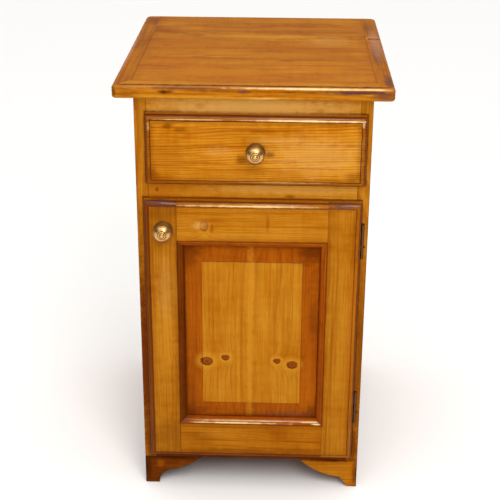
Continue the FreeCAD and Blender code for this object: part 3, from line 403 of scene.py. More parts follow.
def finish_group():
    """Unevenness of a hand-brushed finish: roughness and height."""
    tree, w, given, out = start_group(
        "Brushed finish", {"Vector": ORIGIN, "Roughness": 0.35, "Grain": 0.0, "Seam": 0.0},
        ("Roughness", "Height"))
    broad = w.noise(given["Vector"], (9.0, 26.0, 26.0), detail=3.0)
    fine = w.noise(given["Vector"], 420.0)
    spread = w.plus(w.math("MULTIPLY_ADD", broad, 0.22, -0.11),
                    w.math("MULTIPLY_ADD", fine, 0.10, -0.05))
    rough = w.plus(w.plus(given["Roughness"], spread), w.times(given["Seam"], 0.3))
    w.feed(out["Roughness"], w.math("MAXIMUM", rough, 0.08))
    height = w.plus(w.times(broad, 1.5), w.times(given["Grain"], 0.5))
    w.feed(out["Height"], w.plus(height, w.times(fine, 0.12)))
    return tree


GROUP_MAKERS = {"figure": figure_group, "knot": knot_group, "edge": edge_group,
                "rectangle": rectangle_group, "spot": spot_group, "stain": stain_group,
                "finish": finish_group}
groups = {}


def shared(name):
    """The shared node group of that name, made the first time that it is asked for."""
    if name not in groups:
        groups[name] = GROUP_MAKERS[name]()
    return groups[name]


def new_material(name):
    material = bpy.data.materials.new(name)
    material.use_nodes = True
    wires = Wiring(material.node_tree)
    return material, wires, material.node_tree.nodes["Principled BSDF"].inputs


def add_bump(w, shader, height, strength, depth):
    bump = w.put("ShaderNodeBump")
    bump.inputs["Strength"].default_value = strength
    bump.inputs["Distance"].default_value = depth
    w.feed(bump.inputs["Height"], height)
    w.feed(shader["Normal"], bump.outputs["Normal"])


# The order in which a board's axes are read: along the grain, across the face, through the board.
LIE = {
    "top board": "xyz",
    "side lipping": "yxz",
    "front rail": "xzy",
    "front stile": "zxy",
    "side board": "zyx",
    "side rail": "yzx",
}
VARNISHED = ("golden", "amber", "russet", "umber")


def depths(stain, deepen=0.0):
    """Pale, middle and dark of a stain, deepened by a share towards umber."""
    look = bpy.context.scene.cabinet_varnish
    source = look if stain in VARNISHED else bpy.context.scene.cabinet_bare
    return [tuple(Vector(getattr(source, f"{stain}_{depth}")).lerp(
        Vector(getattr(look, f"umber_{depth}")), deepen)) for depth in ("pale", "mid", "dark")]


def on_front(y, x, z, reach_x, reach_z, strength, deep=9):
    """A spot on the face that looks to the front: its centre, its reaches and its strength."""
    return (x, y, z), (reach_x, deep, reach_z), strength


def pine(name, lie, stain, seed, box, deepen=0.0, pith=(0.0, 0.05), ring=4.0, taper=0.02,
         wander=50.0, contrast=0.6, knots=(), seam=0.35, zones=(), lines=(), spots=(), under=0.0):
    """A material for one board.

    pith is the tree's heart, from the middle of the board, across and through it, in metres.
    ring and wander are in millimetres. knots are (along, across, size in mm, strength). zones are
    (low, high, width, stain, deepen, strength): outside the rectangle another stain shows.
    lines are (low, high, width, strength): a dark band along a rectangle's border, which is stain and
    dirt along mouldings and painted shadow along the gaps round the drawer and door. spots are
    (colour, ((x, y, z), (reach x, y, z), strength), ...) in millimetres, or as on_front has them.
    The last argument sets how much shade is painted on the arrises that face down.
    """
    look = bpy.context.scene.cabinet_varnish
    varnished = stain in VARNISHED
    material, w, shader = new_material(name)
    found = w.put("ShaderNodeTexCoord").outputs
    place = found["Object"]
    axes = dict(zip("xyz", w.split(place)))
    facing = w.split(found["Normal"])
    frontal = w.ease(facing[1], -0.3, -0.05, 1.0, 0.0)
    vector = w.join(*(axes[letter] for letter in LIE[lie]))
    low, high = box
    middle = (low + high) / 2
    along, across, through = ("xyz".index(letter) for letter in LIE[lie])
    centre = (middle[along], middle[across] + pith[0], middle[through] + pith[1])

    masks = {mask: 0.0 for mask in KNOT_MASKS}
    for spot_along, spot_across, size, *strength in knots:
        so_far = {f"{mask}_So_Far": value for mask, value in masks.items()}
        made = w.group("knot", Vector=vector, Along=spot_along, Across=spot_across,
                       Size=size * MM, Strength=strength[0] if strength else 1.0, **so_far)
        masks = {mask: made[mask] for mask in KNOT_MASKS}
    figure = w.group("figure", Vector=vector, Seed=float(seed), Pith=centre,
                     Ring_Width=ring * MM, Taper=taper, Wander=wander * MM, Push=masks["Push"])
    distance = w.group("edge", Vector=place, Normal=found["Normal"], Low=low,
                       High=high)["Distance"]
    ragged = w.math("MULTIPLY_ADD", w.noise(place, 90.0, detail=3.0), 3.0 * MM, -1.5 * MM)
    line = w.ease(w.plus(distance, ragged), 0.3 * MM, 1.7 * MM, seam, 0.0)
    worn = w.ease(w.plus(distance, w.times(ragged, 5.0)), 0.0, 22 * MM,
                  0.22 if varnished else 0.1, 0.0)

    def colour_of(depth_colours):
        pale, mid, dark = depth_colours
        return w.group("stain", Pale=pale, Mid=mid, Dark=dark, Contrast=contrast,
                       **{part: figure[part] for part in FIGURE})["Colour"]

    own = depths(stain, deepen)
    body = colour_of(own)
    body = w.mix(worn, body, own[2])
    for zone_low, zone_high, width, zone_stain, zone_deepen, strength in zones:
        outside = w.group("rectangle", Vector=place, Low=zone_low, High=zone_high,
                          Width=width * MM)["Outside"]
        body = w.mix(w.times(outside, w.times(frontal, strength)), body,
                     colour_of(depths(zone_stain, zone_deepen)))
    if knots:
        body = w.mix(w.times(masks["Halo"], 0.5), body, depths("golden")[0])
        body = w.mix(masks["Heart"], body, look.knot)
        body = w.mix(w.times(masks["Rim"], 0.7), body, look.grime)
    for line_low, line_high, width, strength in lines:
        border = w.group("rectangle", Vector=place, Low=line_low, High=line_high,
                         Width=width * MM)["Ring"]
        body = w.mix(w.times(border, w.times(frontal, strength)), body, look.stain_and_shade)
    for tint, *places in spots:
        mask = 0.0
        for mark in places:
            spot_centre, reach, strength = mark if len(mark) == 3 else on_front(low.y / MM, *mark)
            mask = w.group("spot", Vector=place, Centre=Vector(spot_centre) * MM,
                           Reach=Vector(reach) * MM, Strength=strength, So_Far=mask)["Mask"]
        body = w.mix(mask, body, getattr(look, tint))
    # Painted shade: arrises that face down are darkened.
    if under:
        arris = w.times(w.ease(facing[2], -0.97, -0.85), w.ease(facing[2], -0.4, -0.1, under, 0.0))
        body = w.mix(arris, body, look.grime)
    w.feed(shader["Base Color"], w.mix(line, body, look.grime))

    finish = w.group("finish", Vector=vector, Grain=figure["Height"], Seam=line,
                     Roughness=look.gloss if varnished
                     else bpy.context.scene.cabinet_bare.roughness)
    w.feed(shader["Roughness"], finish["Roughness"])
    if varnished:
        shader["Specular IOR Level"].default_value = look.shine
        shader["Specular Tint"].default_value = (*look.warmth, 1)
        shader["Coat Roughness"].default_value = look.coat_gloss
        upward = w.times(w.ease(facing[2], 0.1, 0.4), w.ease(facing[2], 0.9, 0.98, 1.0, 0.0))
        w.feed(shader["Coat Weight"], w.times(upward, look.bead_coat))
    add_bump(w, shader, finish["Height"], 0.45, 0.2 * MM)
    return material


def metal(name, tint, dull, roughness, patchy=0.5, turned=None):
    """A metal with dull patches. turned is a knob's (tip, (radius, width), ...) in metres and
    millimetres: it is dull in those grooves about the tip and on all that lies far behind it.
    """
    material, w, shader = new_material(name)
    place = w.put("ShaderNodeTexCoord").outputs["Object"]
    broad = w.noise(place, 75.0, detail=3.0, roughness=0.6)
    fine = w.noise(place, 1500.0)
    mask = w.ease(broad, 0.45, 0.8, 0.0, patchy)
    if turned:
        tip, *grooves = turned
        right, back, up = w.split(w.vector("SUBTRACT", place, tip))
        mask = w.math("MAXIMUM", mask, w.ease(back, 17 * MM, 22 * MM, 0.0, 0.9))
        out = w.vector("LENGTH", w.join(right, 0.0, up))
        for radius, width in grooves:
            away = w.math("ABSOLUTE", w.math("SUBTRACT", out, radius * MM))
            mask = w.math("MAXIMUM", mask, w.ease(away, 0.3 * width * MM, width * MM, 1.0, 0.0))
    w.feed(shader["Base Color"], w.mix(mask, tint, dull))
    shader["Metallic"].default_value = 1.0
    rough = w.plus(w.times(mask, 0.3), w.times(fine, 0.05))
    w.feed(shader["Roughness"], w.plus(rough, roughness))
    add_bump(w, shader, fine, 0.08, 0.02 * MM)
    return material


# ---- dressing the frame's own boards ----------------------------------------------------------------
def dress(node, material, ease=None):
    """Gives a piece of the frame its material and eases its sharp edges."""
    board = NODES[node]
    for slot in board.material_slots:
        slot.material = material
    weld = board.modifiers.new("weld", "WELD")
    weld.merge_threshold = 0.01 * MM
    width = bpy.context.scene.cabinet_varnish.ease if ease is None else ease
    if width > 0:
        bevel = board.modifiers.new("ease", "BEVEL")
        bevel.width = width
        bevel.segments = 2
        bevel.limit_method = "ANGLE"
        bevel.angle_limit = math.radians(40)
        bevel.harden_normals = True
    return board


def dress_pine(node, lie, stain, seed, ease=None, **figure):
    """One wooden board with a figure of its own."""
    return dress(node, pine(node, lie, stain, seed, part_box(node), **figure), ease)


def inset(low, high, margin):
    """The rectangle of the front that lies a margin inside two corners."""
    return ((low.x + margin, 0, low.z + margin), (high.x - margin, 0, high.z - margin))


class CABINET_OT_top(bpy.types.Operator):
    """Dresses the top: four glued boards inside mitred lipping"""
    bl_idname = "cabinet.top"
    bl_label = "Top"

    def execute(self, context):
        top, front = 824, -268.75
        boards = (("front", (0.02, -0.045), 5.2, 0.03, 0.0), ("middle", (-0.03, -0.05), 4.4, -0.02, 0),
                  ("rear", (0.05, -0.06), 5.6, 0.02, 0.0), ("back", (-0.02, -0.07), 4.8, 0.03, 0.05))
        marks = {
            "front": (("knot", ((57, -83, top), (18, 6, 30), 0.8)),
                      ("golden_mid", ((-60, -170, top), (130, 34, 30), 0.75),
                       ((120, -140, top), (70, 28, 30), 0.65)),
                      ("russet_pale", ((-150, -110, top), (60, 22, 30), 0.5),
                       ((20, -215, top), (150, 12, 30), 0.45))),
            "middle": (("knot", ((-37, 12, top), (22, 6, 30), 0.35)),
                       ("golden_mid", ((60, -40, top), (130, 18, 30), 0.75))),
            "rear": (("straw", ((140, 70, top), (60, 50, 30), 0.16)),
                     ("golden_pale", ((20, 110, top), (140, 26, 30), 0.6)),
                     ("russet_pale", ((-150, 60, top), (70, 26, 30), 0.5)),
                     ("knot", ((-180, 140, top), (40, 30, 30), 0.3))),
            "back": (("knot", ((-200, 165, top), (60, 40, 30), 0.4)),),
        }
        for number, (which, pith, ring, taper, deepen) in enumerate(boards):
            dress_pine(f"top_board_{which}", "top board", "amber", 11 + number * 7, pith=pith,
                       ring=ring, taper=taper, deepen=deepen, contrast=0.48,
                       seam=0.35 if which in ("middle", "rear") else 0.14, spots=marks[which])
        dress_pine("top_lipping_front", "top board", "golden", 41, pith=(0.04, -0.03), ring=4.5,
                   seam=0.12,
                   spots=(("russet_mid", ((0, front - 4, 818), (420, 9, 7), 0.5)),
                          ("umber_mid", ((-60, front - 3, 817), (80, 9, 3), 0.6),
                           ((80, front - 3, 816), (70, 9, 3), 0.7),
                           ((-215, front - 3, 812), (30, 9, 9), 0.5)),
                          ("umber_dark", ((0, -259.5, top), (600, 6, 12), 0.9)),
                          ("golden_pale", (-40, 804, 200, 5, 0.75, 12)),
                          ("straw", (20, 803, 40, 4, 0.5, 30)),
                          ("weathered", (180, 817, 90, 6, 1.0, 16), (225, 812, 30, 11, 0.8, 30),
                           (-19, 816, 16, 5, 0.8, 14), (-120, 821, 110, 3, 0.7)),
                          ("grime", (-151, 814, 18, 5, 0.9, 14), (-242, 812, 8, 14, 0.6, 12)),
                          # Painted highlight along the front arris.
                          ("gleam", ((100, front + 1.2, 822), (190, 2.6, 3), 0.8))))
        dress_pine("top_lipping_left", "side lipping", "amber", 43, pith=(0.05, -0.02), ring=3.2,
                   deepen=0.12, contrast=0.5, seam=0.2,
                   spots=(("weathered", ((-232, 100, top), (8, 150, 20), 0.3),
                           ((-225, 240, top), (20, 50, 20), 0.45)),
                          # Painted sheen along the outer arris.
                          ("bloom", ((-241, -20, 822), (5, 220, 6), 0.5))))
        dress_pine("top_lipping_right", "side lipping", "amber", 47, pith=(-0.05, -0.03), ring=3.6,
                   deepen=0.1, seam=0.2, knots=((0.10, 0.230, 12),),
                   spots=(("weathered", ((228, -30, top), (14, 130, 20), 0.55),
                           ((236, -220, top), (14, 60, 20), 0.75),
                           ((226, 200, top), (16, 90, 20), 0.4)),
                          # Painted sheen on the top face of the right lipping.
                          ("bloom", ((231, 60, top), (16, 170, 20), 0.28))))
        return {"FINISHED"}


class CABINET_OT_carcass(bpy.types.Operator):
    """Dresses the sides, the rails, the divider and the cupboard floor"""
    bl_idname = "cabinet.carcass"
    bl_label = "Carcass"

    def execute(self, context):
        drawer = inset(*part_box("drawer_front"), -0.6 * MM)
        door = inset(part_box("door_stile_left")[0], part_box("door_stile_right")[1], -0.6 * MM)
        # Painted shadow: a dark band on the carcass front round the proud drawer and door.
        dirt_and_shadow = ((*drawer, 3.4, 0.75), (*door, 3.4, 0.75))
        for number, side in enumerate(("left", "right")):
            sign = 2 * number - 1
            marks = [("umber_mid", (sign * 204, 280, 14, 330, 1.0 - 0.45 * number, 5),
                      (sign * 199, 90, 16, 80, 0.8, 8))]
            if side == "right":
                # Painted shade in the hinge recesses of the right side's front edge.
                marks.append(("grime", (204, 520, 2.6, 3, 1.3, 4), (203.5, 172, 2.6, 3, 1.3, 4)))
            dress_pine(f"side_{side}", "side board", "golden", 61 + number * 5, deepen=0.08,
                       pith=(0.03, -0.09 * sign), ring=5.5, taper=0.035, wander=80, lines=dirt_and_shadow,
                       knots=((0.52, -0.05 + number * 0.1, 9), (0.22, 0.12, 7)), spots=marks)
        dress_pine("top_front_rail", "front rail", "golden", 71, deepen=-0.3, pith=(0.06, 0.02),
                   ring=3.0, contrast=0.22, seam=0.2, lines=dirt_and_shadow,
                   spots=(("straw", (0, 782, 260, 30, 0.6)),
                          ("golden_dark", (-93, 783, 12, 8, 0.3), (118, 775, 10, 8, 0.35))))
        dress_pine("drawer_divider", "front rail", "golden", 73, deepen=-0.12, pith=(0.05, 0.03),
                   ring=3.4, contrast=0.3, seam=0.2, lines=dirt_and_shadow, knots=((-0.1723, 0.626, 4.4),),
                   spots=(("russet_pale", (-170, 625, 60, 30, 0.5)),
                          ("straw", (60, 630, 190, 14, 0.32)),
                          ("grime", (67, 616, 13, 6, 0.5), (0, 603, 220, 5, 0.5))))
        dress_pine("cupboard_floor", "top board", "umber", 79, pith=(0.0, 0.07), contrast=0.4)
        dress_pine("top_back_rail", "front rail", "bare", 83, ring=3.5)
        return {"FINISHED"}


class CABINET_OT_feet(bpy.types.Operator):
    """Dresses the bracket feet and their glue blocks"""
    bl_idname = "cabinet.feet"
    bl_label = "Feet"

    def execute(self, context):
        # The spots along the top of each foot, at heights 58 to 61, are painted shadow under the proud
        # door.
        left = (("umber_dark", (-204, 40, 9, 50, 0.8), (-150, 58, 60, 5, 0.5)),
                ("grime", (-150, 61, 70, 4.5, 0.9), (-209, 30, 3, 50, 0.8)),
                ("russet_pale", (-180, 45, 12, 12, 0.45)))
        right = (("umber_mid", (205, 30, 6, 40, 0.7), (150, 58, 60, 4, 0.6)),
                 ("grime", (150, 61, 70, 4.5, 0.9), (209, 30, 2.6, 50, 0.8)))
        for side, stain, marks in (("left", "umber", left), ("right", "amber", right)):
            spots = [(tint, *(on_front(-243, *mark, deep=40) for mark in places))
                     for tint, *places in marks]
            for number, place in enumerate(("front", "back")):
                # Painted shade on the front brackets' arrises that face down.
                dress_pine(f"foot_{place}_{side}", "front rail", stain, 91 + number,
                           pith=(0.05, 0.04), ring=5.8, contrast=0.5, seam=0.7, spots=spots,
                           under=0.85, ease=1.6 * MM)
                dress_pine(f"foot_side_{place}_{side}", "side rail", stain, 95 + number,
                           pith=(0.05, 0.04), ring=5.8, contrast=0.5)
        dress_pine("foot_glue_blocks", "front rail", "bare", 99)
        return {"FINISHED"}


class CABINET_OT_inside(bpy.types.Operator):
    """Dresses the shelf, battens, runners, kickers and back boards"""
    bl_idname = "cabinet.inside"
    bl_label = "Inside"

    def execute(self, context):
        dress_pine("shelf", "top board", "bare", 101, pith=(0.02, 0.08), ring=4.5, wander=80,
                   knots=((0.08, 0.05, 8),))
        dress_pine("back_boards", "front stile", "bare", 103, pith=(0.03, 0.06), ring=4.5,
                   wander=80)
        for number, side in enumerate(("left", "right")):
            for offset, part in enumerate(("shelf_batten", "drawer_runner", "drawer_kicker")):
                dress_pine(f"{part}_{side}", "side rail", "bare", 107 + 3 * number + offset,
                           ring=3.5)
        return {"FINISHED"}


class CABINET_OT_drawer(bpy.types.Operator):
    """Dresses the drawer: moulded front and dovetailed box"""
    bl_idname = "cabinet.drawer"
    bl_label = "Drawer"

    def execute(self, context):
        low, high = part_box("drawer_front")
        raised = low.y / MM + 1
        field = inset(low, high, 9.5 * MM)
        outer = inset(low, high, 1.2 * MM)
        dress_pine("drawer_front", "front rail", "golden", 113, deepen=-0.15, pith=(0.09, 0.05),
                   ring=3.4, wander=40, contrast=1.0, seam=0.2,
                   zones=((*field, 1.5, "amber", 0.25, 0.9),),
                   # The band round the outer edge is painted shadow of the gap about the drawer front.
                   lines=((*field, 10, 0.3), (*field, 1.5, 0.95), (*outer, 3.5, 0.8)),
                   spots=(("golden_dark", (-150, 690, 60, 60, 0.35), (-60, 742, 120, 9, 0.3),
                           (-20, 668, 170, 10, 0.35), (-130, 700, 60, 2.5, 0.6),
                           (-95, 684, 90, 2.5, 0.6), (-70, 716, 60, 2, 0.5),
                           (90, 736, 80, 2, 0.4), (120, 676, 70, 2.5, 0.5)),
                          ("umber_mid", (-149, 751, 11, 7, 0.65), (-127, 745, 14, 6, 0.55),
                           (31, 701, 14, 8, 0.8), (-20, 692, 13, 13, 0.65),
                           (12, 743, 34, 6, 0.45), (-178, 662, 18, 16, 0.5),
                           (178, 660, 18, 14, 0.5)),
                          ("straw", (110, 700, 110, 50, 0.26), (60, 728, 90, 8, 0.25),
                           (-60, 705, 40, 14, 0.16)),
                          # Painted highlights along the beads and at the upper corners.
                          ("gleam", on_front(raised, 100, 763, 170, 2, 1.0, 5),
                           on_front(raised, -110, 763, 80, 1.8, 0.5, 5),
                           on_front(raised, 60, 649, 120, 1.6, 0.35, 5),
                           on_front(raised, -183, 750, 3, 12, 0.25, 5),
                           on_front(raised, 193, 757, 3, 8, 0.4, 5))))
        for number, side in enumerate(("left", "right")):
            dress_pine(f"drawer_side_{side}", "side rail", "bare", 127 + number, ring=3.6)
        dress_pine("drawer_box_front", "front rail", "bare", 131, ring=3.6)
        dress_pine("drawer_back", "front rail", "bare", 137, ring=3.6)
        dress_pine("drawer_bottom", "top board", "ply", 139, pith=(0, 0.3), ring=9, wander=160,
                   contrast=0.35)
        return {"FINISHED"}


class CABINET_OT_door(bpy.types.Operator):
    """Dresses the door: frame, raised panel and mouldings"""
    bl_idname = "cabinet.door"
    bl_label = "Door"

    def execute(self, context):
        low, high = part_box("door_stile_left")[0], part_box("door_stile_right")[1]
        front = low.y / MM
        field = inset(low, high, 9.5 * MM)
        outer = inset(low, high, 1.2 * MM)
        sight = inset(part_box("door_moulding_left")[0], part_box("door_moulding_right")[1], 0)
        # The band round the outer edge is painted shadow of the gap about the door.
        lines = ((*field, 9, 0.16), (*field, 1.4, 0.85), (*outer, 3.2, 0.8),
                 (*sight, 9, 0.18), (*sight, 2.0, 0.8))
        dress_pine("door_stile_left", "front stile", "golden", 149, pith=(0.06, 0.05), ring=4.6,
                   taper=0.01, contrast=0.45, seam=0.1, deepen=0.26,
                   zones=((*field, 1.5, "umber", 0.0, 0.85),), lines=lines,
                   spots=(("umber_mid", (-150, 120, 60, 60, 0.4), (-160, 590, 50, 25, 0.45),
                           (-161, 545, 26, 26, 0.4)),
                          ("straw", (-160, 430, 20, 90, 0.12)),
                          ("golden_pale", (-160, 330, 24, 120, 0.4)),
                          ("weathered", (-165, 606, 34, 8, 0.8, 30))))
        dress_pine("door_stile_right", "front stile", "golden", 151, pith=(-0.07, 0.05), ring=4.6,
                   taper=0.01, contrast=0.4, seam=0.1, deepen=0.26,
                   zones=((*field, 1.5, "amber", 0.2, 0.85),), lines=lines,
                   spots=(("russet_pale", (185, 350, 10, 240, 0.4)),
                          ("weathered", (165, 606, 42, 8, 0.75, 30))))
        dress_pine("door_rail_top", "front rail", "golden", 157, deepen=0.12, pith=(0.08, 0.04),
                   ring=4.4, contrast=0.45, seam=0.1, knots=((-0.087, 0.564, 10, 0.6),),
                   zones=((*field, 1.5, "amber", 0.1, 0.9),), lines=lines,
                   spots=(("straw", (-96, 566, 20, 12, 0.3)),
                          ("golden_dark", (28, 570, 5, 22, 0.6), (-80, 575, 40, 6, 0.6),
                           (-73, 560, 5, 14, 0.7)),
                          # Painted highlight along the top bead.
                          ("gleam", on_front(front + 1, -10, 602.5, 150, 2.4, 0.75, 6))))
        dress_pine("door_rail_bottom", "front rail", "amber", 163, pith=(-0.07, 0.04), ring=4.4,
                   contrast=0.5, seam=0.1, deepen=0.2,
                   zones=((*field, 1.5, "umber", 0.1, 0.8),), lines=lines,
                   spots=(("umber_mid", (0, 90, 220, 12, 0.4), (-100, 120, 50, 22, 0.3)),
                          ("golden_pale", (-60, 128, 60, 12, 0.3))))
        self.dress_panel()
        self.dress_mouldings(front)
        return {"FINISHED"}

    def dress_mouldings(self, front):
        # Painted highlights along the bottom moulding's rounded face.
        painted_highlights = ((-30, 152.6, 110, 2.4, 0.9), (128, 153, 12, 2.6, 0.9), (-20, 157, 130, 2, 0.5),
                  (112, 156.6, 30, 2.2, 0.8))
        highlight_and_wear_spots = (("gleam", *(on_front(front, *gleam, deep=30) for gleam in painted_highlights)),
                 ("weathered", on_front(front, -128, 156, 14, 9, 0.6, 30)))
        for part, lie, stain, seed, deepen, spots in (
                ("left", "front stile", "umber", 177, -0.25, ()),
                ("right", "front stile", "russet", 178, -0.3, ()),
                ("top", "front rail", "russet", 182, -0.3, ()),
                ("bottom", "front rail", "russet", 185, -0.3, highlight_and_wear_spots)):
            dress_pine(f"door_moulding_{part}", lie, stain, seed, deepen=deepen, ring=3.0,
                       pith=(0.04, 0.02), contrast=0.4, ease=0.4 * MM, spots=spots)

    def dress_panel(self):
        left_low, left_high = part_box("door_moulding_left")
        right_low, right_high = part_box("door_moulding_right")
        width = left_high.x - left_low.x
        low = Vector((left_high.x, 0, left_low.z + width))
        high = Vector((right_low.x, 0, right_high.z - width))
        outer = inset(low, high, 0)
        field = inset(low, high, 32.5 * MM)
        deep = inset(low, high, 3 * MM)
        corners = [(x / MM, z / MM, 44, 44, 0.95, 30) for x in (low.x, high.x)
                   for z in (low.z, high.z)]
        dress_pine("door_panel", "front stile", "golden", 167, deepen=0.14, pith=(0.02, -0.09),
                   ring=6.0, taper=0.012, wander=60, contrast=0.3, seam=0.0, ease=0.4 * MM,
                   zones=((*field, 1.2, "russet", 0.0, 0.95), (*deep, 12, "umber", 0.0, 0.6)),
                   lines=((*outer, 2.5, 0.8), (*field, 0.9, 0.4)),
                   knots=((0.2835, -0.0846, 11.5), (0.2918, -0.0491, 7.4), (0.2865, 0.0486, 7.0),
                          (0.2785, 0.0776, 10.0)),
                   spots=(("umber_mid", *corners, (-125, 200, 30, 60, 0.4, 20)),
                          ("golden_pale", (-3, 340, 10, 300, 0.55, 30)),
                          ("umber_mid", (115, 372, 14, 60, 0.5, 30), (0, 164, 130, 8, 0.45, 30)),
                          ("umber_mid", (107, 506, 30, 26, 0.7, 30),
                           (-114, 500, 24, 30, 0.5, 30), (-108, 172, 34, 16, 0.6, 30)),
                          ("weathered", (70, 166, 80, 14, 0.4, 30)),
                          ("golden_dark", (60, 400, 18, 80, 0.18, 20),
                           (-70, 420, 16, 90, 0.15, 20))))


class CABINET_OT_knobs(bpy.types.Operator):
    """Turns the two brass knobs: flange, waisted neck, beaded rim and ringed domed face"""
    bl_idname = "cabinet.knobs"
    bl_label = "Knobs"

    def execute(self, context):
        look = context.scene.cabinet_metal
        for name in ("drawer_knob", "door_knob"):
            low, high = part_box(name)
            piece = self.turn(f"turned_{name}", low, high, look.segments)
            middle = (low + high) / 2
            piece.data.materials.append(
                metal(f"{name}_brass", look.brass, look.tarnish, look.polish,
                      patchy=0.2, turned=((middle.x, low.y, middle.z), (4.4, 0.9), (7.9, 0.9),
                                          (14.8, 1.0))))
            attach(piece, "drawer" if name == "drawer_knob" else "door")
            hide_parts(name)
        return {"FINISHED"}

    def bowed(self, corners, steps=6):
        """Joins corners of (radius, height, bow) by straight lines, or by bowed ones in steps."""
        points = []
        for (radius, height, bow), (next_radius, next_height, _) in zip(corners, corners[1:]):
            start = Vector((radius, height))
            run = Vector((next_radius, next_height)) - start
            outward = Vector((run.y, -run.x)).normalized()
            for step in range(steps if bow else 1):
                part = step / steps
                points.append(start + run * part + outward * bow * 4 * part * (1 - part))
        return [*points, Vector(corners[-1][:2])]

    def turn(self, name, low, high, segments):
        """A knob turned about the middle of its box, from the wood out to its tip."""
        middle = (low + high) / 2
        # Radius, height and bow of the stretch that follows, in millimetres, from the wood out.
        corners = ((17.5, 0, 0), (17.5, 1.2, 0.35), (16.0, 2.3, 0), (14.5, 2.4, 0), (14.0, 3.0, 0),
                   (12.5, 3.3, -1.5), (7.0, 9.8, -1.5), (13.3, 17.6, 0), (15.0, 18.4, 1.05),
                   (15.3, 21.9, 0), (14.8, 21.6, 0), (14.3, 21.9, 0.4), (8.3, 26.6, 0),
                   (7.9, 26.3, 0), (7.4, 26.6, 0.95), (4.8, 27.8, 0), (4.4, 27.6, 0),
                   (4.0, 28.3, 0.46), (0.4, 30.0, 0))
        mesh = bmesh.new()
        angles = [2 * math.pi * step / segments for step in range(segments)]
        rings = [[mesh.verts.new((middle.x + radius * MM * math.cos(angle), high.y - height * MM,
                                  middle.z + radius * MM * math.sin(angle))) for angle in angles]
                 for radius, height in self.bowed(corners)]
        for inner, outer in zip(rings, rings[1:]):
            for step in range(segments):
                following = (step + 1) % segments
                mesh.faces.new((inner[step], inner[following], outer[following], outer[step]))
        mesh.faces.new(reversed(rings[0]))
        mesh.faces.new(rings[-1])
        bmesh.ops.recalc_face_normals(mesh, faces=mesh.faces)
        shape = bpy.data.meshes.new(name)
        mesh.to_mesh(shape)
        mesh.free()
        shape.shade_smooth()
        piece = bpy.data.objects.new(name, shape)
        bpy.context.scene.collection.objects.link(piece)
        return piece


class CABINET_OT_hinges(bpy.types.Operator):
    """Dresses the butt hinges, their pins and screws in browned metal"""
    bl_idname = "cabinet.hinges"
    bl_label = "Hinges"

    def execute(self, context):
        look = context.scene.cabinet_metal
        bronze = metal("hinge_bronze", look.bronze, Vector(look.bronze) * 0.4, 0.34)
        for node in ("hinge_pins", "hinge_frame_screws", "hinge_door_screws",
                     "hinge_upper_frame_leaf", "hinge_lower_frame_leaf",
                     "hinge_upper_door_leaf", "hinge_lower_door_leaf"):
            dress(node, bronze, ease=0)
        return {"FINISHED"}


class CABINET_OT_fixings(bpy.types.Operator):
    """Dresses the steel bolts and screws and the magnetic catch"""
    bl_idname = "cabinet.fixings"
    bl_label = "Fixings"

    def execute(self, context):
        look = context.scene.cabinet_metal
        steel = metal("steel", look.steel, Vector(look.steel) * 0.5, 0.3)
        for node in ("drawer_knob_bolt", "door_knob_bolt", "top_fixing_screws",
                     "drawer_front_screws", "catch_strike"):
            dress(node, steel, ease=0)
        material, w, shader = new_material("catch_plastic")
        place = w.put("ShaderNodeTexCoord").outputs["Object"]
        grain = w.noise(place, 900.0, detail=3.0)
        dark = Vector(look.plastic) * 0.7
        w.feed(shader["Base Color"], w.mix(grain, look.plastic, dark))
        w.feed(shader["Roughness"], w.ease(grain, 0.3, 0.7, 0.38, 0.55))
        dress("catch_body", material)
        return {"FINISHED"}


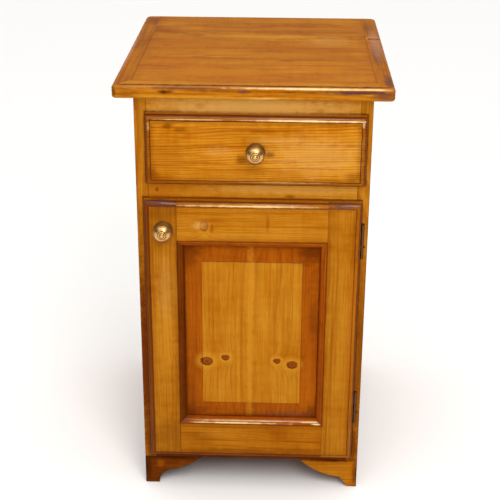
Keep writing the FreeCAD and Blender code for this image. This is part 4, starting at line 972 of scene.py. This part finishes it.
class CABINET_OT_stage(bpy.types.Operator):
    """Makes the pale floor, the soft lights and the camera"""
    bl_idname = "cabinet.stage"
    bl_label = "Stage"

    def execute(self, context):
        look = context.scene.cabinet_stage
        self.make_floor(look)
        self.make_sky(look)
        self.area_light("key", (0.5, -1.9, 2.05), (0.8, 1.5), look.key_power)
        self.area_light("fill", (-1.3, -2.6, 1.4), (1.6, 1.6), look.fill_power)
        lens = bpy.data.cameras.new("camera")
        lens.lens = look.lens
        lens.clip_end = 200
        camera = bpy.data.objects.new("camera", lens)
        context.scene.collection.objects.link(camera)
        ahead = Vector((math.sin(look.yaw) * math.cos(look.pitch),
                        math.cos(look.yaw) * math.cos(look.pitch), math.sin(look.pitch)))
        right = Vector((math.cos(look.yaw), -math.sin(look.yaw), 0))
        turn = Matrix((right, right.cross(ahead), -ahead)).transposed().to_4x4()
        lean = Matrix.Rotation(-look.roll, 4, "Z")
        camera.matrix_world = Matrix.Translation(Vector(look.eye)) @ turn @ lean
        context.scene.camera = camera
        context.scene.view_settings.view_transform = "Standard"
        return {"FINISHED"}

    def make_floor(self, look):
        reach = 60.0
        shape = bpy.data.meshes.new("floor")
        shape.from_pydata([(-reach, -reach, 0), (reach, -reach, 0), (reach, reach, 0),
                           (-reach, reach, 0)], [], [(0, 1, 2, 3)])
        floor = bpy.data.objects.new("floor", shape)
        bpy.context.scene.collection.objects.link(floor)
        material, w, shader = new_material("floor")
        place = w.put("ShaderNodeTexCoord").outputs["Object"]
        cloud = w.noise(place, 0.6)
        shade = Vector(look.floor) * 0.97
        w.feed(shader["Base Color"], w.mix(cloud, look.floor, shade))
        shader["Roughness"].default_value = 0.85
        shader["Specular IOR Level"].default_value = 0.1
        shape.materials.append(material)

    def make_sky(self, look):
        """Even light from above that fades towards the horizon."""
        world = bpy.data.worlds.new("studio")
        world.use_nodes = True
        w = Wiring(world.node_tree)
        height = w.split(w.put("ShaderNodeTexCoord").outputs["Generated"])[2]
        sky = world.node_tree.nodes["Background"].inputs
        sky["Color"].default_value = (1, 1, 1, 1)
        lit = w.ease(height, 0.45, 0.85, look.surround, look.ceiling)
        seen = w.put("ShaderNodeLightPath").outputs["Is Camera Ray"]
        unseen = w.math("SUBTRACT", 1.0, seen)
        w.feed(sky["Strength"], w.plus(w.times(lit, unseen), seen))
        bpy.context.scene.world = world

    def area_light(self, name, place, size, watts):
        light = bpy.data.lights.new(name, "AREA")
        light.shape = "RECTANGLE"
        light.size, light.size_y = size
        light.energy = watts
        lamp = bpy.data.objects.new(name, light)
        bpy.context.scene.collection.objects.link(lamp)
        lamp.location = place
        aim = Vector((0, 0, 0.45)) - Vector(place)
        lamp.rotation_euler = aim.to_track_quat("-Z", "Y").to_euler()


MAKERS = (CABINET_OT_stage, CABINET_OT_top, CABINET_OT_carcass, CABINET_OT_feet,
          CABINET_OT_inside, CABINET_OT_drawer, CABINET_OT_door, CABINET_OT_knobs,
          CABINET_OT_hinges, CABINET_OT_fixings)
SETTINGS = {"cabinet_varnish": VarnishSettings, "cabinet_bare": BareWoodSettings,
            "cabinet_metal": MetalSettings, "cabinet_stage": StageSettings}


class CABINET_PT_panel(bpy.types.Panel):
    """Buttons for each group of pieces, and the sizes and colours that they use"""
    bl_idname = "CABINET_PT_panel"
    bl_label = "Pine Cabinet"
    bl_space_type = "VIEW_3D"
    bl_region_type = "UI"
    bl_category = "Cabinet"

    def draw(self, context):
        for maker in MAKERS:
            self.layout.operator(maker.bl_idname)
        for name in SETTINGS:
            settings = getattr(context.scene, name)
            box = self.layout.box()
            for prop in settings.bl_rna.properties.keys():
                if prop not in ("rna_type", "name"):
                    box.prop(settings, prop)


CLASSES = (*SETTINGS.values(), *MAKERS, CABINET_PT_panel)


def register():
    for cls in CLASSES:
        bpy.utils.register_class(cls)
    for name, cls in SETTINGS.items():
        setattr(bpy.types.Scene, name, PointerProperty(type=cls))


def unregister():
    for name in SETTINGS:
        delattr(bpy.types.Scene, name)
    for cls in reversed(CLASSES):
        bpy.utils.unregister_class(cls)


def main():
    register()
    for maker in MAKERS:
        family, name = maker.bl_idname.split(".")
        getattr(getattr(bpy.ops, family), name)()


if __name__ == "__main__":
    main()
